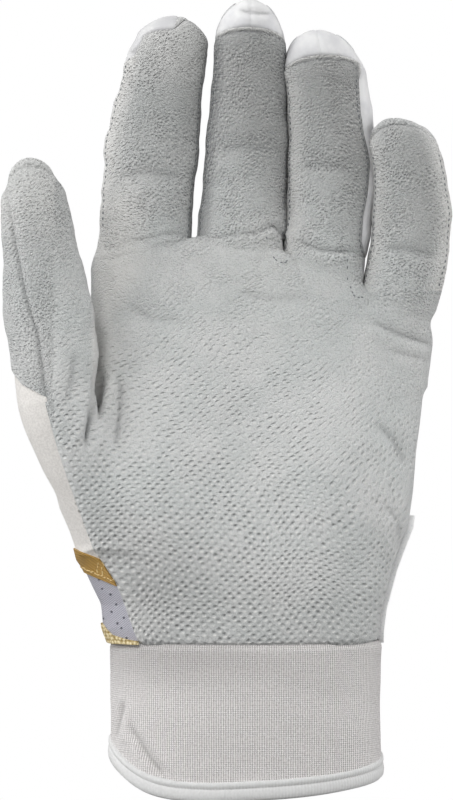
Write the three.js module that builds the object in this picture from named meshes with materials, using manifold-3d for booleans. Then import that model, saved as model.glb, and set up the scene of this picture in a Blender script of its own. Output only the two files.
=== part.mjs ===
// Left-hand batting glove, shaped as it is when worn, in millimetres.
// The palm faces -Y, the fingers run along +Z and the thumb is at -X.
// The origin is the middle of the hand opening, on the lower rim of the cuff.
// Each leather panel is cut by its pattern outline from the formed shell of the hand or of a finger.
import * as THREE from "three";
import { mergeVertices } from "three/addons/utils/BufferGeometryUtils.js";
import Module from "manifold-3d";

// Thicknesses of the materials
const LEATHER = 1.2;
const KNIT = 2.0;
const BINDING_TAPE = 1.1;
const STRAP_CLOTH = 1.2;
const CLOSURE_PILE = 0.5;

// Gaps: between two sewn panels, between layers that lie on each other, and at a fold
const SEAM = 0.4;
const LAYER_GAP = 0.3;
const CREASE_SLIT = 2.6;

// Cuff
const CUFF_HEIGHT = 46;
const CUFF_WIDTH = 81.6;
const CUFF_DEPTH = 50;
const RIM_RISE = 0.16;
const RIM_LEFT = { from: -15, rise: 7.7, power: 3 };
const RIM_RIGHT = { from: -10, rise: 2.5, power: 1 };
const BINDING_HEIGHT = 6;
const CUFF_POWER = 2.3;
const CUFF_SIDES = 40;

// Row of the four finger roots, at the knuckles
const ROW_LEFT = -44.5;
const CROTCH = 1.9;
const KNUCKLE_Y = 0.5;
const STUB = { depth: 12, narrower: 3, shift: -0.6 };
const WEB_DEPTH = 12;
const WEB_HEIGHT = 13;

// Height of the knuckles above the rim, and their arch from the index finger to the little finger
const KNUCKLE_PEAK = 166;
const KNUCKLE_PEAK_X = -20;
const KNUCKLE_ARCH = 0.00456;

// Finger and thumb sleeves. Widths and depths are outside sizes, rise is how far the root crease
// is above the knuckle peak, lean is how far the tip stands to the right of the root,
// bow bends the sleeve sideways and curl towards the palm,
// frontCap is how far the palm-side leather stops short of the tip.
const FINGERS = {
  index: { width: 28.5, midWidth: 27.6, tipWidth: 24, depth: 23, tipDepth: 18, length: 67,
    rise: 2.5, lean: 9.9, bow: -2.8, curl: 10, frontCap: 4.5 },
  middle: { width: 24.6, midWidth: 24, tipWidth: 21.6, depth: 23, tipDepth: 18, length: 72.4,
    rise: 1, lean: 2.8, bow: 0.4, curl: 14, frontCap: 8.5 },
  ring: { width: 22.8, midWidth: 23.6, tipWidth: 20.6, depth: 22, tipDepth: 17, length: 68,
    rise: -4, lean: -1.2, bow: 1.6, curl: 13, frontCap: 8 },
  pinky: { width: 22, midWidth: 22.6, tipWidth: 20, depth: 21, tipDepth: 16.5, length: 52,
    rise: -14, lean: -0.6, bow: 1.6, curl: 9, frontCap: 4.5 },
};
const THUMB = { width: 25, midWidth: 24.4, tipWidth: 20, depth: 25, tipDepth: 18, length: 73,
  rise: -46.6, lean: -9.8, bow: -1, curl: 5, frontCap: 3.5 };
const THUMB_X = -57;
const THUMB_Y = -16;
const THUMB_STUB = { depth: 40, width: 20, deep: 18, shift: 8, back: 8 };
const THUMB_SEAM_INSET = 4.6;
const TIP_DOME = 12;
const SIDE_INSET = 2.6;
const SLEEVE_POWER = 2.4;

// Hand between the cuff and the knuckles. Each section is given by its share of the way up and by how far it
// reaches to the thumb side, the little-finger side, the palm side and the back, in shares of the half sizes.
const PALM_HALF_WIDTH = 50;
const PALM_HALF_DEPTH = 20;
const HAND_POWER = 2.6;
const HAND_SIDES = 36;
const HAND_SHAPE = [
  { up: 0, left: 0.866, right: 0.8, front: 1.2, back: 1.2 },
  { up: 0.1, left: 0.89, right: 0.828, front: 1.125, back: 1.15 },
  { up: 0.22, left: 1.012, right: 0.892, front: 1.075, back: 1.1 },
  { up: 0.36, left: 1.09, right: 0.976, front: 1.05, back: 1.05 },
  { up: 0.475, left: 1.05, right: 0.996, front: 1, back: 0.975 },
  { up: 0.59, left: 0.97, right: 1.008, front: 0.925, back: 0.9 },
  { up: 0.71, left: 0.92, right: 1.04, front: 0.825, back: 0.825 },
  { up: 0.84, left: 0.908, right: 1.08, front: 0.7, back: 0.725 },
  { up: 1, left: 0.908, right: 1.14, front: 0.54, back: 0.615 },
];
const PALM_WRAP = 2;

// Thumb side below the thumb: stretch gusset, gold stripe, vent panel and edge tape, left of a slanting seam.
// The seam is given in shares of the half width of the palm and of the knuckle height.
// The stripe and the tape slant, and their heights are measured at SLANT_X.
const SIDE_SEAM = [
  [-1.188, 0.747], [-1.188, 0.711], [-1.116, 0.629], [-1.026, 0.539], [-0.924, 0.448], [-0.798, 0.389],
  [-0.696, 0.265],
].map(([across, up]) => [across * PALM_HALF_WIDTH, up * KNUCKLE_PEAK]);
const SLANT_X = -46;
const GUSSET_BACK = 6;
const STRIPE_SLOPE = -0.4;
const STRIPE_HEIGHT = 72.5;
const STRIPE_WIDTH = 5.8;
const TAPE_HEIGHT = 54;
const TAPE_SLOPE = -0.45;

// Wrist closure on the back of the hand
const STRAP_BOTTOM = 49;
const STRAP_ROOT_HEIGHT = 26;
const STRAP_END_HEIGHT = 36;
const STRAP_ROOT_X = -40;
const STRAP_HINGE_X = -6;
const STRAP_END_Y = -2;
const PATCH_LEFT = 8;
const PATCH_WIDTH = 27;
const PATCH_HEIGHT = 22;

const wasm = await Module();
wasm.setup();

const MATERIALS = {
  leather: new THREE.MeshStandardMaterial({ color: 0xc9cccb, roughness: 0.85 }),
  smooth: new THREE.MeshStandardMaterial({ color: 0xe6e6e8, roughness: 0.6 }),
  knit: new THREE.MeshStandardMaterial({ color: 0xdcd9d8, roughness: 0.95 }),
  stretch: new THREE.MeshStandardMaterial({ color: 0xd9d4cf, roughness: 0.95 }),
  mesh: new THREE.MeshStandardMaterial({ color: 0xb9b8c4, roughness: 0.9 }),
  gold: new THREE.MeshStandardMaterial({ color: 0xa98a4e, roughness: 0.6, metalness: 0.2 }),
  tape: new THREE.MeshStandardMaterial({ color: 0xd2bd92, roughness: 0.9 }),
  binding: new THREE.MeshStandardMaterial({ color: 0xf0f0f0, roughness: 0.7 }),
  pile: new THREE.MeshStandardMaterial({ color: 0xcfcfd2, roughness: 1.0 }),
};

const mix = (a, b, t) => a + (b - a) * t;
const smooth = (t) => t * t * (3 - 2 * t);

// A closed mesh as a solid for joining and cutting
function solidOf(geometry) {
  const bare = geometry.index ? geometry.toNonIndexed() : geometry.clone();
  bare.deleteAttribute("normal");
  bare.deleteAttribute("uv");
  const merged = mergeVertices(bare, 1e-4);
  return new wasm.Manifold(new wasm.Mesh({
    numProp: 3,
    vertProperties: merged.attributes.position.array,
    triVerts: new Uint32Array(merged.index.array),
  }));
}

// A solid back as a mesh geometry, with an optional map of each point
function geometryOf(solid, map) {
  const mesh = solid.getMesh();
  const points = new Float32Array(mesh.numVert * 3);
  for (let i = 0; i < mesh.numVert; i++) {
    const at = mesh.vertProperties.subarray(i * mesh.numProp, i * mesh.numProp + 3);
    points.set(map ? map(...at) : at, i * 3);
  }
  const geometry = new THREE.BufferGeometry();
  geometry.setAttribute("position", new THREE.BufferAttribute(points, 3));
  geometry.setIndex(new THREE.BufferAttribute(new Uint32Array(mesh.triVerts), 1));
  geometry.computeVertexNormals();
  return geometry;
}

// A solid through a stack of rings that run anticlockwise seen from above
function loft(rings) {
  const count = rings[0].length;
  const points = rings.flat();
  const faces = [];
  for (let k = 0; k + 1 < rings.length; k++) {
    for (let i = 0; i < count; i++) {
      const [a, b] = [k * count + i, k * count + ((i + 1) % count)];
      faces.push(a, b, b + count, a, b + count, a + count);
    }
  }
  // Each end is closed by strips from back to front, so that an arched end keeps its arch
  const top = (rings.length - 1) * count;
  for (let i = 0; i < count / 2; i++) {
    const [a, b, c, d] = [(count - i) % count, i, i + 1, count - i - 1];
    const strip = [[a, b, c], [a, c, d]].filter((t) => new Set(t).size === 3);
    for (const [p, q, r] of strip) faces.push(top + p, top + q, top + r, p, r, q);
  }
  const geometry = new THREE.BufferGeometry();
  geometry.setAttribute("position", new THREE.Float32BufferAttribute(points.flat(), 3));
  geometry.setIndex(faces);
  return solidOf(geometry);
}

// A rounded-box ring: halves are the sizes to the right, left, back and front of the middle
function ovalRing(sides, power, { right, left, back, front }, place) {
  return Array.from({ length: sides }, (_, i) => {
    const angle = (2 * Math.PI * i) / sides;
    const [c, s] = [Math.cos(angle), Math.sin(angle)];
    const x = Math.sign(c) * Math.abs(c) ** (2 / power) * (c > 0 ? right : left);
    const y = Math.sign(s) * Math.abs(s) ** (2 / power) * (s > 0 ? back : front);
    return place(x, y);
  });
}

// A pattern outline in X and Z, as a block from one depth to another
function patternBlock(outline, fromY, toY) {
  const shape = new THREE.Shape(outline.map(([x, z]) => new THREE.Vector2(x, z)));
  const block = new THREE.ExtrudeGeometry(shape, { depth: toY - fromY, bevelEnabled: false });
  block.rotateX(Math.PI / 2);
  block.translate(0, toY, 0);
  return solidOf(block);
}

function addMesh(group, name, solid, material, map) {
  const mesh = new THREE.Mesh(geometryOf(solid, map), material);
  mesh.name = name;
  group.add(mesh);
}

// Finger sleeves: each is formed straight, cut into its panels, then bent to its bow and curl.
const SLEEVE_SIDES = 20;
const SLEEVE_STEPS = [0, 0.2, 0.4, 0.6, 0.8, 1];
const DOME_STEPS = [0.3, 0.55, 0.76, 0.9, 0.98];
const FAR = 60;

// Half width and half depth of a sleeve at a height along it, before the tip's dome
function sleeveHalf(finger, height) {
  const t = Math.min(Math.max(height / (finger.length - TIP_DOME), 0), 1);
  const width = t < 0.5 ? mix(finger.width, finger.midWidth, smooth(t * 2))
    : mix(finger.midWidth, finger.tipWidth, smooth(t * 2 - 1));
  return { across: width / 2, deep: mix(finger.depth, finger.tipDepth, t) / 2 };
}

function sleeveSolid(finger, inset, bottom) {
  const straight = finger.length - TIP_DOME;
  const ringAt = (height, shrink) => {
    const half = sleeveHalf(finger, height);
    const [across, deep] = [(half.across - inset) * shrink, (half.deep - inset) * shrink];
    return ovalRing(SLEEVE_SIDES, SLEEVE_POWER, { right: across, left: across, back: deep, front: deep },
      (x, y) => [x, y, height]);
  };
  const rings = SLEEVE_STEPS.map((t) => ringAt(mix(bottom, straight, t), 1));
  for (const q of DOME_STEPS) {
    rings.push(ringAt(straight + q * (TIP_DOME - inset), Math.sqrt(1 - q * q)));
  }
  return loft(rings);
}

// Outline of a panel on the sleeve: the sleeve's own outline drawn in by an inset, with a round top
function tonguePoints(finger, leftInset, rightInset, bottom, top) {
  const shoulder = top - 0.8 * TIP_DOME;
  const heights = [bottom, mix(bottom, shoulder, 0.33), mix(bottom, shoulder, 0.67), shoulder];
  const edge = (side, inset) => heights.map((z) => [side * (sleeveHalf(finger, z).across - inset), z]);
  const [left, right] = [edge(-1, leftInset), edge(1, rightInset)];
  const [from, to] = [right.at(-1)[0], left.at(-1)[0]];
  const arch = [1, 2, 3, 4, 5, 6, 7].map((i) => {
    const angle = (Math.PI * i) / 8;
    return [mix(from, to, (1 - Math.cos(angle)) / 2), shoulder + (top - shoulder) * Math.sin(angle)];
  });
  return [...right, ...arch, ...left.reverse()];
}

const bend = (finger) => (x, y, z) => {
  const t = Math.max(z / finger.length, 0);
  return [x + finger.bow * 4 * t * (1 - t), y - finger.curl * t * t, z];
};

const leanAngle = (finger) => Math.asin(finger.lean / finger.length);

// A group standing at the root crease of a sleeve, leaning with it
function rootGroup(finger, x, y) {
  const group = new THREE.Group();
  group.position.set(x, y, KNUCKLE_PEAK + finger.rise);
  group.rotation.y = leanAngle(finger);
  return group;
}

// Centres of the finger roots, laid side by side from the thumb side
const rootX = {};
let edge = ROW_LEFT;
for (const [name, finger] of Object.entries(FINGERS)) {
  rootX[name] = edge + finger.width / 2;
  edge += finger.width + CROTCH;
}

const glove = new THREE.Group();

for (const [name, finger] of Object.entries(FINGERS)) {
  const group = rootGroup(finger, rootX[name], KNUCKLE_Y);
  const tube = sleeveSolid(finger, 0, 0).subtract(sleeveSolid(finger, LEATHER, -LEATHER));
  const frontTop = finger.length - finger.frontCap;
  const backTop = finger.length - LEATHER;
  const front = patternBlock(tonguePoints(finger, SIDE_INSET, SIDE_INSET, CREASE_SLIT, frontTop), -FAR, 0);
  const back = patternBlock(tonguePoints(finger, SIDE_INSET, SIDE_INSET, -LEATHER, backTop), 0, FAR);
  const wide = SIDE_INSET - SEAM;
  const frontHole = patternBlock(tonguePoints(finger, wide, wide, -LEATHER, frontTop + SEAM), -FAR, 0);
  const backHole = patternBlock(tonguePoints(finger, wide, wide, -LEATHER, backTop + SEAM), 0, FAR);
  const band = tube.subtract(frontHole).subtract(backHole);
  const half = (side) => patternBlock(
    [[side * SEAM / 2, -FAR], [side * FAR, -FAR], [side * FAR, 2 * FAR], [side * SEAM / 2, 2 * FAR]],
    -FAR, FAR);
  addMesh(group, `${name}_front`, tube.intersect(front), MATERIALS.leather, bend(finger));
  addMesh(group, `${name}_back`, tube.intersect(back), MATERIALS.leather, bend(finger));
  addMesh(group, `${name}_left_sidewall`, band.intersect(half(-1)), MATERIALS.smooth, bend(finger));
  addMesh(group, `${name}_right_sidewall`, band.intersect(half(1)), MATERIALS.smooth, bend(finger));
  glove.add(group);
}

// Thumb sleeve: the back panel comes round its outer side and over the tip
const thumbGroup = rootGroup(THUMB, THUMB_X, THUMB_Y);
const thumbTube = sleeveSolid(THUMB, 0, 0).subtract(sleeveSolid(THUMB, LEATHER, -LEATHER));
const thumbTop = THUMB.length - THUMB.frontCap;
const thumbFront = tonguePoints(THUMB, THUMB_SEAM_INSET, SIDE_INSET, CREASE_SLIT, thumbTop);
const thumbHole = tonguePoints(THUMB, THUMB_SEAM_INSET - SEAM, SIDE_INSET - SEAM, -LEATHER, thumbTop + SEAM);
addMesh(thumbGroup, "thumb_front", thumbTube.intersect(patternBlock(thumbFront, -FAR, 0)),
  MATERIALS.leather, bend(THUMB));
addMesh(thumbGroup, "thumb_back", thumbTube.subtract(patternBlock(thumbHole, -FAR, 0)),
  MATERIALS.leather, bend(THUMB));
glove.add(thumbGroup);

// Hand shell: an oval body with a short stub for each finger and the thumb, hollow and open at both ends
const knuckleTop = (x) => KNUCKLE_PEAK - KNUCKLE_ARCH * (x - KNUCKLE_PEAK_X) ** 2;

function handSolid(offset) {
  const ends = { 0: Math.min(offset, 0) * 4, 1: offset };
  const across = (share) => share * PALM_HALF_WIDTH + offset;
  const deep = (share) => share * PALM_HALF_DEPTH + offset;
  return loft(HAND_SHAPE.map(({ up, left, right, front, back }) => ovalRing(HAND_SIDES, HAND_POWER,
    { right: across(right), left: across(left), back: deep(back), front: deep(front) },
    (x, y) => [x, y, mix(CUFF_HEIGHT, knuckleTop(x), up) + (ends[up] ?? 0)])));
}

// A stub from its foot inside the hand up to the root ring of its sleeve
function stubSolid(finger, group, inset, foot) {
  group.updateMatrix();
  const top = inset > 0 ? 1 : -LAYER_GAP;
  const half = sleeveHalf(finger, 0);
  const ringAt = (across, deep, place) => ovalRing(SLEEVE_SIDES, SLEEVE_POWER,
    { right: across - inset, left: across - inset, back: deep - inset, front: deep - inset },
    (x, y) => place(x, y).applyMatrix4(group.matrix).toArray());
  return loft([
    ringAt(foot.width / 2, foot.deep / 2,
      (x, y) => new THREE.Vector3(x + foot.shift, y + foot.back, inset - foot.depth)),
    ringAt(half.across, half.deep, (x, y) => new THREE.Vector3(x, y, top)),
  ]);
}

function handWithStubs(inset) {
  let solid = handSolid(-inset);
  for (const [name, finger] of Object.entries(FINGERS)) {
    const foot = { ...STUB, width: finger.width - STUB.narrower, deep: finger.depth, back: 0 };
    solid = solid.add(stubSolid(finger, rootGroup(finger, rootX[name], KNUCKLE_Y), inset, foot));
  }
  return solid.add(stubSolid(THUMB, thumbGroup, inset, THUMB_STUB));
}
const handShell = handWithStubs(0).subtract(handWithStubs(LEATHER));

// Crotch webs: the foot of the sidewalls, between each two fingers
const names = Object.keys(FINGERS);
const webBlock = (i, grow) => {
  const left = rootX[names[i]] + FINGERS[names[i]].width / 2 - LEATHER * 3 - grow;
  const right = rootX[names[i + 1]] - FINGERS[names[i + 1]].width / 2 + LEATHER * 3 + grow;
  const middle = knuckleTop((left + right) / 2);
  const [low, high] = [middle - WEB_HEIGHT - grow, middle + FAR];
  return patternBlock([[left, low], [right, low], [right, high], [left, high]],
    KNUCKLE_Y - WEB_DEPTH / 2 - grow, KNUCKLE_Y + WEB_DEPTH / 2 + grow);
};

// Blocks left of the side seam, and between two slanting lines across it
const sideBlock = (grow) => {
  const seam = SIDE_SEAM.map(([x, z]) => [x + grow, z]).reverse();
  return patternBlock([[-2 * FAR, SIDE_SEAM[0][1]], [-2 * FAR, 0], [seam[0][0], 0], ...seam],
    -FAR, GUSSET_BACK + grow);
};
const slantBlock = (low, high, slope) => {
  const [left, right] = [SLANT_X - FAR, SLANT_X + FAR];
  const fall = slope * FAR;
  return patternBlock([[left, low - fall], [right, low + fall], [right, high + fall], [left, high - fall]],
    -FAR, FAR);
};

let body = handShell.subtract(sideBlock(SEAM));
for (const i of [0, 1, 2]) {
  addMesh(glove, `web_${names[i]}_${names[i + 1]}`, handShell.intersect(webBlock(i, 0)), MATERIALS.smooth);
  body = body.subtract(webBlock(i, SEAM));
}
const wholeOutline = [[-2 * FAR, -FAR], [2 * FAR, -FAR], [2 * FAR, 4 * FAR], [-2 * FAR, 4 * FAR]];
const frontHalf = (y) => patternBlock(wholeOutline, -FAR, y);
const backHalf = (y) => patternBlock(wholeOutline, y, FAR);
addMesh(glove, "palm_leather", body.intersect(frontHalf(PALM_WRAP - SEAM / 2)), MATERIALS.leather);
addMesh(glove, "back_of_hand", body.intersect(backHalf(PALM_WRAP + SEAM / 2)), MATERIALS.leather);

const side = handShell.intersect(sideBlock(0));
const stripeLow = STRIPE_HEIGHT - STRIPE_WIDTH;
const tapeTop = (gap) => slantBlock(-FAR, TAPE_HEIGHT - gap, TAPE_SLOPE);
addMesh(glove, "thumb_gusset", side.intersect(slantBlock(STRIPE_HEIGHT + SEAM, 4 * FAR, STRIPE_SLOPE)),
  MATERIALS.stretch);
addMesh(glove, "gold_stripe", side.intersect(slantBlock(stripeLow, STRIPE_HEIGHT, STRIPE_SLOPE)),
  MATERIALS.gold);
addMesh(glove, "vent_panel",
  side.intersect(slantBlock(-FAR, stripeLow - SEAM, STRIPE_SLOPE)).subtract(tapeTop(0)), MATERIALS.mesh);
addMesh(glove, "edge_tape", side.intersect(tapeTop(SEAM)), MATERIALS.tape);

// Cuff: a knit tube in two halves, with a folded binding round its slanting lower rim
const sideRise = ({ from, rise, power }, x, end) => rise * Math.max(0, (x - from) / (end - from)) ** power;
const rimAt = (x, y) => RIM_RISE * (y + CUFF_DEPTH / 2)
  + sideRise(RIM_LEFT, x, -CUFF_WIDTH / 2) + sideRise(RIM_RIGHT, x, CUFF_WIDTH / 2);
const cuffPoint = (angle, out, height) => {
  const ring = ovalRing(CUFF_SIDES, CUFF_POWER, {
    right: CUFF_WIDTH / 2 + out, left: CUFF_WIDTH / 2 + out,
    back: CUFF_DEPTH / 2 + out, front: CUFF_DEPTH / 2 + out,
  }, (x, y) => [x, y, rimAt(x, y) + height]);
  return ring[angle];
};
function cuffSolid(out, bottom, top) {
  const ring = (height, level) => Array.from({ length: CUFF_SIDES }, (_, i) => {
    const point = cuffPoint(i, out, height);
    return level === undefined ? point : [point[0], point[1], level];
  });
  return loft([ring(bottom), ring(BINDING_HEIGHT), ring(0, mix(BINDING_HEIGHT, CUFF_HEIGHT, 0.6)),
    ring(0, top)]);
}
const knitBottom = BINDING_TAPE + LAYER_GAP;
const cuffTube = cuffSolid(0, knitBottom, CUFF_HEIGHT - SEAM)
  .subtract(cuffSolid(-KNIT, knitBottom - KNIT, CUFF_HEIGHT + KNIT));
addMesh(glove, "cuff_front", cuffTube.intersect(frontHalf(-SEAM / 2)), MATERIALS.knit);
addMesh(glove, "cuff_back", cuffTube.intersect(backHalf(SEAM / 2)), MATERIALS.knit);

const bindingOut = LAYER_GAP + BINDING_TAPE;
const bindingIn = -KNIT - bindingOut;
const bindingProfile = [
  [bindingOut, 0], [bindingOut, BINDING_HEIGHT], [LAYER_GAP, BINDING_HEIGHT], [LAYER_GAP, BINDING_TAPE],
  [bindingIn + BINDING_TAPE, BINDING_TAPE], [bindingIn + BINDING_TAPE, BINDING_HEIGHT - 2],
  [bindingIn, BINDING_HEIGHT - 2], [bindingIn, 0],
];
const bindingRings = bindingProfile.map(([out, height]) =>
  Array.from({ length: CUFF_SIDES }, (_, i) => cuffPoint(i, out, height)));
const bindingFaces = [];
for (let k = 0; k < bindingProfile.length; k++) {
  const next = (k + 1) % bindingProfile.length;
  for (let i = 0; i < CUFF_SIDES; i++) {
    const [a, b] = [k * CUFF_SIDES + i, k * CUFF_SIDES + ((i + 1) % CUFF_SIDES)];
    const [c, d] = [next * CUFF_SIDES + i, next * CUFF_SIDES + ((i + 1) % CUFF_SIDES)];
    bindingFaces.push(a, b, d, a, d, c);
  }
}
const bindingGeometry = new THREE.BufferGeometry();
bindingGeometry.setAttribute("position", new THREE.Float32BufferAttribute(bindingRings.flat(2), 3));
bindingGeometry.setIndex(bindingFaces);
addMesh(glove, "cuff_binding", solidOf(bindingGeometry), MATERIALS.binding);

// Wrist closure: a sewn strap root, and a tab that peels open about the end of the root
function backLayer(from, to, outline, fromY) {
  return handSolid(to).subtract(handSolid(from)).intersect(patternBlock(outline, fromY, FAR));
}
const strapTop = (x) => STRAP_BOTTOM + mix(STRAP_ROOT_HEIGHT, STRAP_END_HEIGHT,
  (x - STRAP_ROOT_X) / (CUFF_WIDTH / 2 - STRAP_ROOT_X));
const band = (from, to) => [
  [from, STRAP_BOTTOM], [to, STRAP_BOTTOM], [to, strapTop(to)], [from, strapTop(from)],
];
const patchMiddle = STRAP_BOTTOM + STRAP_ROOT_HEIGHT / 2 + 2;
const patch = [
  [PATCH_LEFT, patchMiddle - PATCH_HEIGHT / 2], [PATCH_LEFT + PATCH_WIDTH, patchMiddle - PATCH_HEIGHT / 2],
  [PATCH_LEFT + PATCH_WIDTH, patchMiddle + PATCH_HEIGHT / 2], [PATCH_LEFT, patchMiddle + PATCH_HEIGHT / 2],
];
const loopTop = LAYER_GAP + CLOSURE_PILE;
const hookTop = loopTop + LAYER_GAP + CLOSURE_PILE;
const tabBottom = hookTop + LAYER_GAP;
addMesh(glove, "strap_root", backLayer(LAYER_GAP, hookTop, band(STRAP_ROOT_X, STRAP_HINGE_X - LAYER_GAP), 0),
  MATERIALS.smooth);
addMesh(glove, "loop_patch", backLayer(LAYER_GAP, loopTop, patch, 0), MATERIALS.pile);
addMesh(glove, "hook_patch", backLayer(loopTop + LAYER_GAP, hookTop, patch, 0), MATERIALS.pile);
addMesh(glove, "closure_tab",
  backLayer(tabBottom, tabBottom + STRAP_CLOTH, band(STRAP_HINGE_X, FAR), STRAP_END_Y), MATERIALS.smooth);

export default glove;
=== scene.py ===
# Left-hand batting glove standing as worn, palm to the camera. Metres, in the frame of the solids.
import math

import bpy
import numpy as np
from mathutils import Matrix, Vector
from mathutils.bvhtree import BVHTree


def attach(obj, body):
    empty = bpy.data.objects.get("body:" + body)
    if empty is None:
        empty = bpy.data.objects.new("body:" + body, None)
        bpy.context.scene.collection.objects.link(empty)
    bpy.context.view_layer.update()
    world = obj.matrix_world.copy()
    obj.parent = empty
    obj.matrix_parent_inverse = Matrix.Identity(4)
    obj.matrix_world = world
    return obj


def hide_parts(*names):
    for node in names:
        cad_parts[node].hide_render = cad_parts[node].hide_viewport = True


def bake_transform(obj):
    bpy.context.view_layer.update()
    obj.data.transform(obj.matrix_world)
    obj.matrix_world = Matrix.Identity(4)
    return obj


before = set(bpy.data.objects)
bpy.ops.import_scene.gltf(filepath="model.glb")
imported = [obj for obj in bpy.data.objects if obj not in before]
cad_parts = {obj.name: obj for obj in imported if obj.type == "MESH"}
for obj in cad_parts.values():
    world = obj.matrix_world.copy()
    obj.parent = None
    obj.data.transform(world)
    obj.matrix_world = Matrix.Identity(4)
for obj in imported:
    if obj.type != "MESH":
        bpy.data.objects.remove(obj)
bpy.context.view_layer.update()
MM = 0.001

# Form of the gloved hand
# The panels are sewn flat and take the shape of the hand inside, so every panel below is cut from one form:
# an oval hand with a sleeve for each finger and the thumb. All sizes of the form are in millimetres.
SLEEVES = {
    "index": dict(root=(-30.25, 0.5, 168.5), width=(28.5, 29.2, 24.4), depth=(23, 18), length=67.0,
                  lean=9.9, bow=-2.2, curl=10, front_cap=4.8, arch=9.6, dome=13),
    "middle": dict(root=(-1.4, 0.5, 168.5), width=(27.8, 26.0, 22.8), depth=(23, 18), length=71.0,
                   lean=2.8, bow=0.7, curl=14, front_cap=8.8, arch=5.0, dome=18),
    "ring": dict(root=(23.6, 0.5, 162.0), width=(26.4, 27.8, 25.4), depth=(22, 17), length=68.4,
                 lean=-2.7, bow=3.5, curl=13, front_cap=8.0, arch=5.6, dome=16),
    "pinky": dict(root=(46.4, 0.5, 152.0), width=(25.6, 25.3, 22.6), depth=(21, 16.5), length=52.6,
                  lean=-2.0, bow=4.8, curl=9, front_cap=2.6, arch=8.4, dome=13),
    "thumb": dict(root=(-55.2, -15.5, 119.4), width=(26.6, 26.0, 20.6), depth=(25, 18), length=72.2,
                  lean=-9.8, bow=0.0, curl=5, front_cap=2.6, arch=12, dome=20),
}
FINGERS = ["index", "middle", "ring", "pinky"]
LEAN = {name: math.asin(s["lean"] / s["length"]) for name, s in SLEEVES.items()}
SLEEVE_POWER = 2.05
THUMB_WAIST = 1.7
HAND_POWER = 2.6
CUFF_TOP = 46.0
# Rise of the leather between two fingers, by its x.
CROTCH_RISE = {-15.2: 2.6, 11.2: 2.0, 34.0: 0.0}
# Half widths and half depths of the hand, at shares of the way from the cuff to the knuckles.
HAND_UP = [0, 0.04, 0.1, 0.22, 0.36, 0.475, 0.59, 0.71, 0.84, 1]
HAND_LEFT = [41.4, 43.2, 44.0, 50.4, 55.2, 54.4, 50.6, 46.4, 45.4, 45.4]
HAND_RIGHT = [40.0, 40.2, 41.0, 44.2, 49.1, 50.4, 51.1, 52.4, 54.0, 56]
HAND_FRONT = [24, 23.4, 22.5, 21.5, 21, 20, 18.5, 16.5, 14, 10.8]
HAND_BACK = [24, 23.6, 23, 22, 21, 19.5, 18, 16.5, 14.5, 12.3]
# Ball of the thumb, outer heel and hollow of the palm: height, middle, spread and slant.
MOUNDS = [(4.0, (-33, 92), (15, 24), 0.35), (2.5, (30, 92), (15, 30), 0.0), (-2.5, (2, 112), (16, 26), 0.0)]
THUMB_FOOT = 44


def knuckle_top(x):
    """Height of the arc of knuckles, where the hand ends."""
    return 166 - 0.00456 * (x + 20) ** 2


def ease(t):
    t = np.clip(t, 0, 1)
    return t * t * (3 - 2 * t)


def bell(distance, width):
    """A soft bump of height 1 about a line, or about a point."""
    return np.exp(-(distance / width) ** 2)


def hump(x, z, at, spread, angle=0.0):
    """A soft mound of height 1 in the plane of the palm."""
    c, s = math.cos(angle), math.sin(angle)
    dx, dz = x - at[0], z - at[1]
    return np.exp(-(((c * dx + s * dz) / spread[0]) ** 2 + ((c * dz - s * dx) / spread[1]) ** 2))


def oval(x, y, half_x, half_y, power):
    """Distance from a rounded-box outline, good near the outline."""
    a, b = np.abs(x) + 1e-6, np.abs(y) + 1e-6
    r = ((a / half_x) ** power + (b / half_y) ** power) ** (1 / power)
    slope = r ** (1 - power) * np.hypot(a ** (power - 1) / half_x ** power, b ** (power - 1) / half_y ** power)
    return (r - 1) / np.maximum(slope, 0.02)


def join(a, b, k):
    """The nearer of two distances, rounded over where they are alike."""
    h = np.clip(0.5 + 0.5 * (b - a) / k, 0, 1)
    return b + (a - b) * h - k * h * (1 - h)


def waist(sleeve, along):
    """How far the palm side of the thumb is drawn in at its root crease, as half of the width lost."""
    return THUMB_WAIST * bell(np.maximum(along, 0), 9) if sleeve == "thumb" else 0


def to_sleeve(sleeve, x, y, z):
    """Place in a sleeve's own frame, straightened: across, towards the back, and along it from the root crease."""
    s, lean = SLEEVES[sleeve], LEAN[sleeve]
    dx, dz = x - s["root"][0], z - s["root"][2]
    along = dx * math.sin(lean) + dz * math.cos(lean)
    t = np.maximum(along / s["length"], 0)
    across = dx * math.cos(lean) - dz * math.sin(lean) - s["bow"] * 4 * t * (1 - t) + waist(sleeve, along)
    return across, y - s["root"][1] + s["curl"] * t * t, along


def from_sleeve(sleeve, across, deep, along):
    s, lean = SLEEVES[sleeve], LEAN[sleeve]
    t = np.maximum(along / s["length"], 0)
    across = across + s["bow"] * 4 * t * (1 - t) - waist(sleeve, along)
    x = s["root"][0] + across * math.cos(lean) + along * math.sin(lean)
    z = s["root"][2] - across * math.sin(lean) + along * math.cos(lean)
    return np.stack([x, s["root"][1] + deep - s["curl"] * t * t, z], -1)


def sleeve_half(sleeve, along):
    """Half width and half depth of a sleeve on its way up."""
    s = SLEEVES[sleeve]
    t = np.clip(along / (s["length"] - s["dome"]), 0, 1)
    low, mid, top = s["width"]
    width = np.where(t < 0.5, low + (mid - low) * ease(2 * t), mid + (top - mid) * ease(2 * t - 1))
    return width / 2 - waist(sleeve, along), (s["depth"][0] + (s["depth"][1] - s["depth"][0]) * t) / 2


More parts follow.
